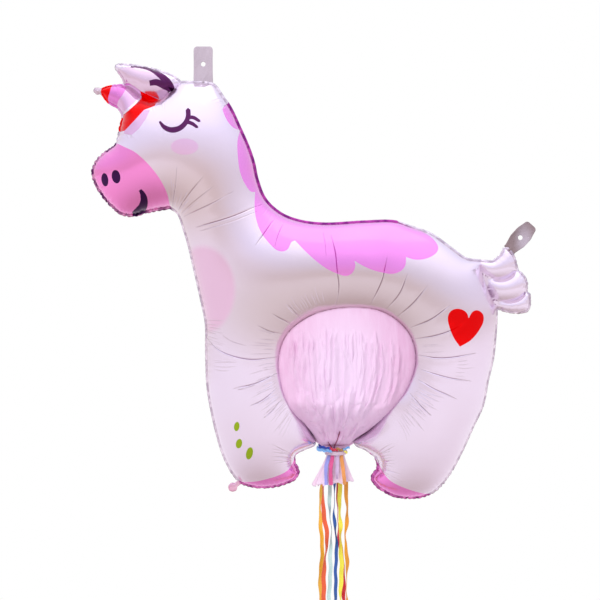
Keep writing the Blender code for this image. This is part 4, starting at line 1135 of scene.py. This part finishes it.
# ---- pouch ----
def pouch_outline():
    """The pouch's seam line and the free edge of its film under the foil."""
    hole = spline(tucked_hole(), 0.004)
    right = [(NECK_X + NECK_HALF[0] + 0.0012, NECK_TOP), (0.249, -0.6475)]
    left = [(0.1985, -0.6475), (NECK_X - NECK_HALF[0] - 0.0012, NECK_TOP)]
    belly = np.vstack([right, hole[1:-1], left])
    seam = offset_loop(belly, POUCH_INSET)
    seam = np.vstack([right[:1], seam[seam[:, 1] > NECK_TOP + 0.003], left[-1:]])
    outer = offset_loop(belly, -POUCH_LAP)
    outer = np.vstack([right[:1], outer[outer[:, 1] > NECK_TOP + 0.009], left[-1:]])
    return seam, outer


def pouch_half_width(height, seam):
    """Half width of the pouch at a height, not narrower above its middle."""
    levels = np.linspace(NECK_TOP, -0.50, 40)
    widths = []
    for level in levels:
        near = seam[np.abs(seam[:, 1] - level) < 0.006]
        widths.append(0.5 * (near[:, 0].max() - near[:, 0].min()))
    return np.interp(height, levels, np.maximum(widths, NECK_HALF[0]))


def one_fold(across, height, half, random, low):
    """A sharp-edged fold: it starts at a point, widens downwards and runs on, or ends in a point again."""
    place = random.uniform(-0.94, 0.94)
    if low:
        top = random.uniform(-0.600, -0.500)
    else:
        top = -0.441 - 0.028 * abs(place)**1.5 + random.uniform(-0.012, 0.008)
    width = random.uniform(0.006, 0.013) if low else random.uniform(0.0024, 0.006)
    grow = random.uniform(0.010, 0.040)
    end = random.uniform(0.050, 0.190) if random.uniform(0, 1) < 0.55 else 1.0
    down = top - height
    size = np.clip(down / grow, 0, 1) * np.clip((end - down) / 0.018, 0, 1)
    kinks = np.cumsum(random.uniform(-0.022, 0.022, 8))
    aside = (across - place - np.interp(down, np.linspace(0, 0.22, 8), kinks)) * half
    aside /= width * np.maximum(size, 0.02)
    skew = random.uniform(0.2, 0.8)
    tent = np.where(aside < 0, 1 + aside / (2 * skew), 1 - aside / (2 * (1 - skew)))
    return width * random.uniform(0.5, 0.9) * size * np.clip(tent, 0, 1)


def crumple(across, height, random, size, count):
    """A crumpled surface of flat upright facets that meet in sharp valleys, its depth about one."""
    scale = np.array([0.105 / size[0], 1 / size[1]])
    seeds = np.stack([random.uniform(-1.1, 1.1, count), random.uniform(-0.68, -0.40, count)], axis=1) * scale
    spot = np.stack([across * 0.105 / size[0], height / size[1]], axis=1)

    def work(some):
        away = np.sort(((some[:, None, :] - seeds[None])**2).sum(2), axis=1)[:, :2]
        near = np.sqrt(away)
        return np.clip(near[:, 1] - near[:, 0], 0, 1.2)

    return in_chunks(work, spot)


def film_folds(across, height, half, random):
    """Depth of the film's folds: pointed at their tops, upright above and closing in on the neck below."""
    folded = np.zeros(len(across))
    for i in range(FOLDS):
        folded = np.maximum(folded, one_fold(across, height, half, random, i % 4 == 3))
    low = np.clip((-0.545 - height) / 0.030, 0, 1)
    edge = -0.447 - 0.030 * np.abs(across)**1.5 + 0.010 * np.sin(41 * across) * np.sin(17 * across + 1)
    within = np.clip((edge - height) / 0.012, 0, 1)
    fine = crumple(across, height, random, (0.007, 0.042), 260)
    coarse = crumple(across, height, random, (0.021, 0.034), 64)
    return folded * within + within * (1 - low) * 0.0024 * fine + low * 0.0105 * coarse


def domed(flat, away, seam, base):
    """The film's plan and depth, bulging out over the foil's edge round the hole."""
    lift = shoulder_height(flat[:, 1]) / SHOULDER
    brim = shoulder_height(flat[:, 1]) + 0.0012 + 0.0026 * lift
    at = point_numbers(seam, nearest_on_line(flat, seam, True)[1])
    inner = np.clip(1 - (away - RIM_WIDTH) / (RIM_REACH - RIM_WIDTH), 0, 1)**1.5
    shift = np.where(away < RIM_WIDTH, away / RIM_WIDTH, inner)
    moved = flat - (np.sqrt(lift) * shift * (OVERHANG + RIM_WIDTH))[:, None] * inward(seam)[at]
    over = np.clip((away - RIM_WIDTH) / 0.070, 0, 1)
    crown = brim + (POUCH_DEPTH - SHOULDER) * lift * np.sqrt(1 - (1 - over)**2)
    dome = np.clip(away / RIM_WIDTH, 0, 1)**0.5 * crown
    return moved, np.maximum(base * (1 - lift) + lift * dome, np.minimum(dome, base + brim))


def pouch_films():
    """The two films of the pouch: swollen, crinkled, gathered to the neck."""
    random = np.random.RandomState(5)
    seam, outer = pouch_outline()
    cloud = PointCloud()
    edges = path_edges(cloud.add(outer), True)
    edges += path_edges(cloud.add(seam, 0.0008), True)
    mouth = [(NECK_X - NECK_HALF[0] * k, NECK_TOP) for k in (0.8, 0.4, 0.0, -0.4, -0.8)]
    cloud.add(mouth)
    for distance, spacing in ((0.0006, 0.0019), (0.0014, 0.0018), (0.0026, 0.0018), (0.004, 0.0018)):
        cloud.add(offset_loop(seam, distance), 0.4 * spacing)
    grid = hexagonal_points(seam.min(0), seam.max(0), POUCH_GRID)
    cloud.add(grid[inside(grid, seam)], 0.0009)
    flat, faces = triangulate(cloud.points, edges, outer)
    flat, faces = drop_loose(flat, faces)
    away = nearest_on_line(flat, seam, True)[0]
    in_mouth = (np.abs(flat[:, 1] - NECK_TOP) < 1e-5) & (np.abs(flat[:, 0] - NECK_X) < NECK_HALF[0])
    within = inside(flat, seam) & (away > 1e-5)
    away = np.where(within, away, 0.0)
    rise = swell(flat, faces, ~within & ~in_mouth)
    base = 0.040 * rise / rise.max() + 0.5 * SEAM_GAP + FILM_WALL
    base[in_mouth] = NECK_HALF[1]
    moved, base = domed(flat, away, seam, base)
    half = pouch_half_width(flat[:, 1], seam)
    across = (flat[:, 0] - NECK_X) / half
    room = np.clip((away - RIM_WIDTH) / 0.014, 0, 1) * np.clip((flat[:, 1] - NECK_TOP) / 0.02, 0.0, 1)
    look = film_look("pink_pouch_film", FILM_PINK, FILM_DEEP, FILM_LIT_PATCH, FILM_PAINTED_LIGHT)
    # a dark strip along the gather gaps: painted shadow
    gap = film_look("pouch_gather_gap_painted_shadow", *GATHER_GAP_SHADOW)
    gaps = [spline(line, 0.002) for line in GATHER_GAPS]
    in_gap = nearest_of(flat[faces].mean(axis=1), gaps) < 0.0008
    valley = 0.0035 * bell(nearest_of(flat, gaps) / 0.0022) * (flat[:, 1] < -0.60)
    for name, side, node in (("pouch_front", -1, "pouch_front_film"), ("pouch_back", 1, "pouch_back_film")):
        folds = film_folds(across, flat[:, 1], half, random) * room - valley
        depth = np.maximum(base + folds, 0.5 * SEAM_GAP + FILM_WALL)
        corners = np.stack([moved[:, 0], side * depth, moved[:, 1]], axis=1)
        turned = faces if side < 0 else faces[:, ::-1]
        film = mesh_object(name, corners, turned, [look, gap], in_gap, sharp=24)
        thicken(film, FILM_SKIN)
        belongs(film, "balloon", node)


# ---- neck: tie and skirt ----
def outward(made, sharp):
    """Turns all faces outwards and shades the mesh smooth up to an angle."""
    turned = bmesh.new()
    turned.from_mesh(made.data)
    bmesh.ops.recalc_face_normals(turned, faces=turned.faces)
    turned.to_mesh(made.data)
    turned.free()
    made.data.shade_smooth()
    made.data.set_sharp_from_angle(angle=math.radians(sharp))


def loft(name, rings, looks, closed_ends=False, sharp=45):
    """A skin over rings of points, open or capped at its ends."""
    faces = joined(rings, False)
    faces = faces if closed_ends else faces[:-2]
    made = mesh_object(name, [p for ring in rings for p in ring], faces, looks, None, sharp)
    outward(made, sharp)
    return made


def pouch_skirt():
    """The loose end of the film under the tie, flared in soft folds with an uneven hem."""
    random = np.random.RandomState(3)
    turns = np.linspace(0, 2 * math.pi, 120, endpoint=False)
    wave = sum(random.uniform(0.5, 1.0) * np.sin(k * turns + random.uniform(0, 6.28)) for k in (5, 8, 11, 15))
    wave /= np.abs(wave).max()
    hem = SKIRT_HEM + 0.0045 * np.cos(turns) + 0.0018 * np.sin(7 * turns) + 0.001 * np.sin(19 * turns + 1)
    rings = []
    for share in np.linspace(0, 1, 22):
        flare = np.clip((share - 0.16) / 0.84, 0, 1)
        half_x = NECK_HALF[0] * (1.0 - 0.04 * (share > 0)) + 0.019 * flare**1.05
        half_y = NECK_HALF[1] + 0.0018 * flare
        fold = (0.030 + 0.105 * flare) * wave
        x = NECK_X - 0.0035 * flare + half_x * (1 + fold) * np.cos(turns)
        y = half_y * (1 + 0.9 * fold) * np.sin(turns)
        rings.append(np.stack([x, y, NECK_TOP + share * (hem - NECK_TOP)], axis=1))
    skirt = loft("pouch_skirt_film", rings, [film_look("pink_skirt_film", *SKIRT_PINK)], sharp=60)
    thicken(skirt, FILM_SKIN)
    belongs(skirt, "pull", "pouch_skirt")


def tie_cord(height, half_x, half_y, thick, lean, random):
    """One turn of the pale cord round the neck: sections of 12 points, a little uneven."""
    around = np.linspace(0, 2 * math.pi, 12, endpoint=False)
    jitter = random.uniform(-1, 1, 6)
    rings = []
    for t in np.linspace(0, 2 * math.pi, 72, endpoint=False):
        uneven = sum(j * math.sin((k + 2) * t + k) for k, j in enumerate(jitter)) / 6
        out = thick * (1 + 0.15 * uneven) * np.cos(around)
        level = height + thick * np.sin(around) + lean * math.cos(t)
        level = level - 0.0009 * max(0.0, -math.sin(t)) + 0.0006 * uneven
        x, y = NECK_X + (half_x + out) * math.cos(t), (half_y + out) * math.sin(t)
        rings.append(np.stack([x, y, level], axis=1))
    return rings


def joined(rings, closed):
    """Faces over sections that follow each other, the last joined to the first or both ends capped."""
    count, faces = len(rings[0]), []
    for r in range(len(rings) - (0 if closed else 1)):
        after = (r + 1) % len(rings)
        for i in range(count):
            j = (i + 1) % count
            faces.append((r * count + i, r * count + j, after * count + j, after * count + i))
    if not closed:
        faces.append(tuple(range(count))[::-1])
        faces.append(tuple((len(rings) - 1) * count + i for i in range(count)))
    return faces


def neck_tie():
    """The tie: a pale cord in three turns, with crumpled ribbon ends wound in above it."""
    random = np.random.RandomState(8)
    names = list(TIE_COLOURS)
    looks = [ribbon_look("tie_cord", TIE_PALE)] + [ribbon_look(f"tie_{n}", TIE_COLOURS[n]) for n in names]
    half_x, half_y = NECK_HALF[0] + 0.0032, NECK_HALF[1] + 0.0042
    parts = []
    for height, tight, thick, lean in TIE_TURNS:
        parts.append((tie_cord(height, half_x - tight, half_y - tight, thick, lean, random), True, 0))
    for mirror in (1, -1):
        for colour, width, route in TIE_ENDS:
            path = spline([(x, mirror * y, z) for x, y, z in route], TIE_END_STEP)
            run = np.arange(len(path)) * TIE_END_STEP
            first = random.uniform(0, 6.28)
            path[:, 1] += 0.0007 * np.sin(run / 0.0009 + first)
            path[:, 2] += 0.0006 * np.sin(run / 0.0014 + first)
            tilt = 0.5 * np.sin(run / 0.0016 + first)
            sideways = np.stack([0 * run, np.sin(tilt), np.cos(tilt)], axis=1)
            parts.append((strip_rings(path, sideways, width, 0.0008, 0.0004), False, 1 + names.index(colour)))
    corners, faces, slots = [], [], []
    for rings, closed, slot in parts:
        first = len(corners)
        made = joined(rings, closed)
        corners += [p for ring in rings for p in ring]
        faces += [tuple(first + i for i in face) for face in made]
        slots += [slot] * len(made)
    tie = mesh_object("neck_tie", corners, faces, looks, slots)
    outward(tie, 50)
    belongs(tie, "pull", "neck_tie_band")


# ---- tabs and filler neck ----
def hang_tab(name, node, tab, body, look, curl):
    """A hanging tab of stiff clear film: punched, rounded at its top, slightly curled and creased at its foot."""
    base, along = np.array(tab["base"]), np.array(tab["toward"], float)
    along /= np.linalg.norm(along)
    across = np.array([along[1], -along[0]])
    top = tab["length"]
    right = [(tab["base_half"], -TAB_LAP), (tab["base_half"], 0.0), (tab["middle_half"], 0.30 * top),
             (tab["middle_half"], 0.62 * top)]
    corner = tab["top_half"] - TAB_CORNER
    for turn in np.linspace(0.0, 0.5 * math.pi, 7):
        right.append((corner + TAB_CORNER * math.cos(turn), top - TAB_CORNER + TAB_CORNER * math.sin(turn)))
    loop = even_points(np.array(right + [(-u, v) for u, v in reversed(right)] + right[:1]), 0.0015)[:-1]
    turns = np.linspace(0, 2 * math.pi, 32, endpoint=False)
    hole, rim = (np.stack([radius * np.cos(turns), tab["hole_at"] + radius * np.sin(turns)], axis=1)
                 for radius in (TAB_HOLE_RADIUS, TAB_RIM_RADIUS))
    cloud = PointCloud()
    edges = path_edges(cloud.add(loop), True)
    edges += path_edges(cloud.add(hole), True)
    cloud.add(rim, 0.0004)
    grid = hexagonal_points(loop.min(0), loop.max(0), TAB_GRID)
    cloud.add(grid[inside(grid, loop) & ~inside(grid, rim)], 0.0009)
    flat, faces = triangulate(cloud.points, edges, loop)
    faces = faces[~inside(flat[faces].mean(axis=1), hole)]
    flat, faces = drop_loose(flat, faces)
    u, v = flat[:, 0], flat[:, 1]
    rise = np.clip(v / top, 0, 1)
    v = np.maximum(v, 0)
    bow = curl * ((u / tab["middle_half"])**2 - 0.3) * np.clip(2.5 * rise, 0, 1)
    fold = 0.0012 * bell(np.abs(np.abs(u) - 0.5 * v) / 0.0022) * np.clip(1 - v / 0.018, 0, 1)
    wave = 0.0004 * np.sin(u * 520 + 1) * np.sin(v * 260)
    y = -(bow + wave * rise) - fold - 0.00045
    place = base + u[:, None] * across + flat[:, 1:] * along
    corners = np.stack([place[:, 0], y, place[:, 1]], axis=1)
    plate = mesh_object(name, corners, faces, [look])
    if plate.data.polygons[0].normal.y > 0:
        plate.data.flip_normals()
    thicken(plate, 0.0004)
    belongs(plate, body, node)


def tab_look(name, colour, pale=None):
    """Milky, half clear film of a hanging tab, paler in one place."""
    look = Look(name)
    light = tuple(min(1.0, 1.14 * c) for c in colour)
    tone = look.mixed(look.ranged(look.noise(30.0, 3.0), 0.3, 0.7, 0.0, 1.0), colour, light)
    if pale:
        tone = look.mixed(look.patch(*pale, soft=0.85), tone, TAB_FILM)
    look.drive("Base Color", tone)
    look.drive("Roughness", look.ranged(look.noise(80.0, 3.0), 0.3, 0.7, 0.18, 0.36))
    look.bump(look.noise(60.0, 4.0, 0.6, 1.0), 0.3, 0.0012)
    look.set(Coat_Weight=0.5, Coat_Roughness=0.1, Alpha=0.93)
    return look.material


def filler_neck():
    """The crumpled foil tongue through which the balloon is blown up: a narrow neck and a rounded end."""
    random = np.random.RandomState(2)
    along = Vector((FILLER_TOWARD[0], 0.0, FILLER_TOWARD[1])).normalized()
    across = Vector((along.z, 0.0, -along.x))
    turns = np.linspace(0, 2 * math.pi, 48, endpoint=False)
    phases = [random.uniform(0, 6.28) for _ in range(4)]
    rings = []
    for share in np.linspace(0, 1, 22):
        bulb = np.clip((share - 0.22) / 0.78, 0, 1)
        round_off = math.sqrt(max(0.02, 1 - (2 * bulb - 1)**2)) if bulb > 0.5 else math.sin(math.pi * bulb)
        width = FILLER_HALF[0] * max(0.52, round_off) if bulb < 0.5 else FILLER_HALF[0] * round_off
        deep = FILLER_HALF[1] * (0.45 + 0.55 * round_off)
        ring = []
        for t in turns:
            dent = sum(math.sin((k + 2) * t + p + 3.4 * share * (k + 1)) for k, p in enumerate(phases)) / 4
            wide = width * math.cos(t) * (1 + 0.06 * dent)
            thick = deep * math.sin(t) * (1 + 0.25 * dent)
            reach = share * (FILLER_LENGTH + FILLER_LAP) - FILLER_LAP
            point = Vector((FILLER_BASE[0], 0.0, FILLER_BASE[1])) + along * reach + across * wide
            ring.append((point.x, thick, point.z))
        rings.append(ring)
    tongue = loft("filler_tongue", rings, [foil_look("filler_pink", *FILLER_PINK)], closed_ends=True)
    belongs(tongue, "filler", "filler_neck")


# ---- ribbons ----
def ribbon_path(route):
    """The ribbon's centre line: from under the tie, close to the neck, out to its route."""
    route = np.array(route)
    side = np.sign(route[0, 1])
    x = NECK_X + 0.72 * (route[0, 0] - NECK_X)
    lie = NECK_HALF[1] * math.sqrt(max(0.0, 1 - ((x - NECK_X) / NECK_HALF[0])**2)) + 0.0012
    start = [(x, side * lie, -0.656), (x, side * lie, -0.664)]
    rest = [tuple(p) for p in route if p[2] < -0.675]
    return spline(start + rest, RIBBON_STEP)


def ribbon_turning(count, turning, random):
    """How far the ribbon is turned at each of its points: as given at first, then wandering."""
    stops = list(np.radians(turning))
    while len(stops) < RIBBON_STOPS:
        edge_on = random.uniform(0, 1) < 0.42
        turn = random.choice((-1, 1)) * random.uniform(76, 88) if edge_on else random.uniform(-30, 30)
        stops.append(math.radians(turn))
    angle = np.interp(np.linspace(0, 1, count), np.linspace(0, 1, len(stops)), stops)
    return smoothed(np.pad(angle, 3, mode="edge"))


def strip_rings(path, sideways, width, cup, thickness=0.0002):
    """Closed sections of a thin strip along a path, whose width lies along the sideways vectors."""
    along = np.gradient(path, axis=0)
    along /= np.linalg.norm(along, axis=1)[:, None]
    columns = np.linspace(-1, 1, 7)
    rings = []
    for place, ahead, wide in zip(path, along, sideways):
        wide = wide - ahead * (wide @ ahead)
        wide /= np.linalg.norm(wide)
        out = np.cross(ahead, wide)
        curve = cup * (columns**2 - 0.5)
        front, back = ([place + 0.5 * width * k * wide + (c + half) * out for k, c in zip(columns, curve)]
                       for half in (0.5 * thickness, -0.5 * thickness))
        rings.append(front + back[::-1])
    return rings


def ribbon(name, node, route, turning, look, random):
    """A flat ribbon along its route, turning and swaying a little as it hangs."""
    path = ribbon_path(route)
    run = np.arange(len(path)) * RIBBON_STEP
    loose = np.clip((run - 0.050) / 0.060, 0, 1)
    first, second = random.uniform(0, 6.28, 2)
    path[:, 0] += loose * (0.0007 * np.sin(run / 0.0125 + first) + 0.0005 * np.sin(run / 0.0052 + second))
    path[:, 1] += loose * 0.001 * np.sin(run / 0.008 + second)
    angle = ribbon_turning(len(path), turning, random) * np.clip(run / 0.02, 0, 1)
    sideways = np.stack([np.cos(angle), np.sin(angle), 0 * angle], axis=1)
    width = RIBBON_WIDTH * random.uniform(0.84, 1.08)
    strip = loft(name, strip_rings(path, sideways, width, 0.0006), [look], closed_ends=True, sharp=60)
    belongs(strip, "pull", node)
    round(float(length_of(path)), 3)


def ribbons():
    """All ribbons of the pull bunch."""
    random = np.random.RandomState(21)
    for group, ending in ((SHORT_RIBBONS, "_short"), (LONG_RIBBONS, "")):
        for colour, (route, turning) in group.items():
            look = ribbon_look(f"ribbon_{colour}", RIBBON_COLOURS[colour])
            ribbon(f"{colour}_streamer{ending}", f"{colour}_ribbon{ending}", route, turning, look, random)


# ---- camera, lights and floor ----
def camera():
    """The camera at the pinata's middle height, square on to its front."""
    data = bpy.data.cameras.new("camera")
    data.sensor_width = SENSOR
    data.lens = SENSOR * abs(CAMERA_AT[1]) / VIEW_WIDTH
    made = bpy.data.objects.new("camera", data)
    made.location = CAMERA_AT
    made.rotation_euler = (math.radians(90), 0.0, 0.0)
    bpy.context.scene.collection.objects.link(made)
    bpy.context.scene.camera = made


def area_light(name, place, aim, size, power, mirrored=True):
    """A soft square light that faces its aim; the foil mirrors it or not."""
    data = bpy.data.lights.new(name, "AREA")
    data.size = size
    data.energy = power
    made = bpy.data.objects.new(name, data)
    made.location = place
    made.rotation_euler = (Vector(aim) - Vector(place)).to_track_quat("-Z", "Y").to_euler()
    made.visible_glossy = mirrored
    made.visible_camera = False
    bpy.context.scene.collection.objects.link(made)


def surroundings():
    """A studio that is white to the eye; the light it gives changes with the height it comes from, as SKY says."""
    world = bpy.data.worlds.new("studio")
    world.use_nodes = True
    bpy.context.scene.world = world
    tree = world.node_tree
    new, link = tree.nodes.new, tree.links.new
    place = new("ShaderNodeTexCoord")
    split = new("ShaderNodeSeparateXYZ")
    shifted = new("ShaderNodeMapRange")
    shifted.inputs["From Min"].default_value = -1.0
    ramp = new("ShaderNodeValToRGB")
    stops = ramp.color_ramp.elements
    while len(stops) < len(SKY):
        stops.new(0.5)
    for stop, (height, colour) in zip(stops, SKY):
        stop.position = 0.5 + 0.5 * height
        stop.color = (*colour, 1.0)
    link(place.outputs["Generated"], split.inputs[0])
    link(split.outputs["Z"], shifted.inputs["Value"])
    link(shifted.outputs["Result"], ramp.inputs["Fac"])
    lit = tree.nodes["Background"]
    link(ramp.outputs["Color"], lit.inputs["Color"])
    rays = new("ShaderNodeLightPath")
    sideways = new("ShaderNodeMapRange")
    softened = new("ShaderNodeMapRange")
    strength = new("ShaderNodeMath")
    strength.operation = "MULTIPLY"
    for key, number in zip(("From Min", "From Max", "To Min", "To Max"), (-1.0, 0.3, 1.0 - LEFT_DIM, 1.0)):
        sideways.inputs[key].default_value = number
    softened.inputs["To Min"].default_value = SKY_STRENGTH
    softened.inputs["To Max"].default_value = SKY_STRENGTH * SOFT_LIGHT
    link(split.outputs["X"], sideways.inputs["Value"])
    link(rays.outputs["Is Diffuse Ray"], softened.inputs["Value"])
    link(sideways.outputs["Result"], strength.inputs[0])
    link(softened.outputs["Result"], strength.inputs[1])
    link(strength.outputs[0], lit.inputs["Strength"])
    seen = new("ShaderNodeBackground")
    seen.inputs["Color"].default_value = (1.0, 1.0, 1.0, 1.0)
    both = new("ShaderNodeMixShader")
    link(rays.outputs["Is Camera Ray"], both.inputs["Fac"])
    link(lit.outputs[0], both.inputs[1])
    link(seen.outputs[0], both.inputs[2])
    link(both.outputs[0], tree.nodes["World Output"].inputs["Surface"])


def floor(level):
    """A round pale floor that fades out at its edge."""
    turns = np.linspace(0, 2 * math.pi, FLOOR_CORNERS, endpoint=False)
    corners = [(NECK_X + FLOOR_RADIUS * math.cos(t), FLOOR_RADIUS * math.sin(t), level) for t in turns]
    look = Look("pale_floor")
    look.drive("Base Color", look.mixed(look.noise(3.0, 3.0), *FLOOR_PALE))
    away = look.node("ShaderNodeVectorMath", operation="LENGTH")
    flat = look.node("ShaderNodeVectorMath", operation="MULTIPLY")
    flat.inputs[1].default_value = (1.0, 1.0, 0.0)
    look.link(look.place, flat.inputs[0])
    look.link(flat.outputs["Vector"], away.inputs[0])
    look.drive("Alpha", look.ranged(away.outputs["Value"], 0.9, 1.6, 1.0, 0.0, smooth=True))
    look.set(Roughness=0.7)
    made = mesh_object("floor", corners, [tuple(range(FLOOR_CORNERS))], [look.material])
    made.visible_glossy = False


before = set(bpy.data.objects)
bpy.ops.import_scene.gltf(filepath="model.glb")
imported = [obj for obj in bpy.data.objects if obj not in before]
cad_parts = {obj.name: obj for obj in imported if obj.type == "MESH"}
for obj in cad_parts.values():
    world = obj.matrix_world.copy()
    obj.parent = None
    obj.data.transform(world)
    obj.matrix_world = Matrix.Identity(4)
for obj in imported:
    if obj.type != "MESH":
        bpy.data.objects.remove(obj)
cad_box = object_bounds()
bpy.context.scene.view_settings.view_transform = "Standard"
camera()
ribbons()
foil_panels()
pouch_films()
pouch_skirt()
neck_tie()
hang_tab("head_tab_film", "head_hang_tab", HEAD_TAB, "head_tab", tab_look("head_tab_milky", TAB_FILM), 0.002)
hang_tab("tail_tab_film", "tail_hang_tab", TAIL_TAB, "tail_tab",
         tab_look("tail_tab_milky", TAIL_TAB_FILM, TAIL_TAB_PALE), 0.0045)
filler_neck()
clear = valve_look()
for node in ("valve_front_film", "valve_back_film"):
    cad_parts[node].data.materials[0] = clear
surroundings()
area_light("key", (-1.0, -2.1, 1.3), (0.20, 0.0, -0.50), 1.0, 42.0, mirrored=False)
area_light("top", (0.4, 0.5, 1.7), (0.2, 0.0, -0.40), 1.8, 3.0)
floor(cad_box[0][2] - FLOOR_DROP)
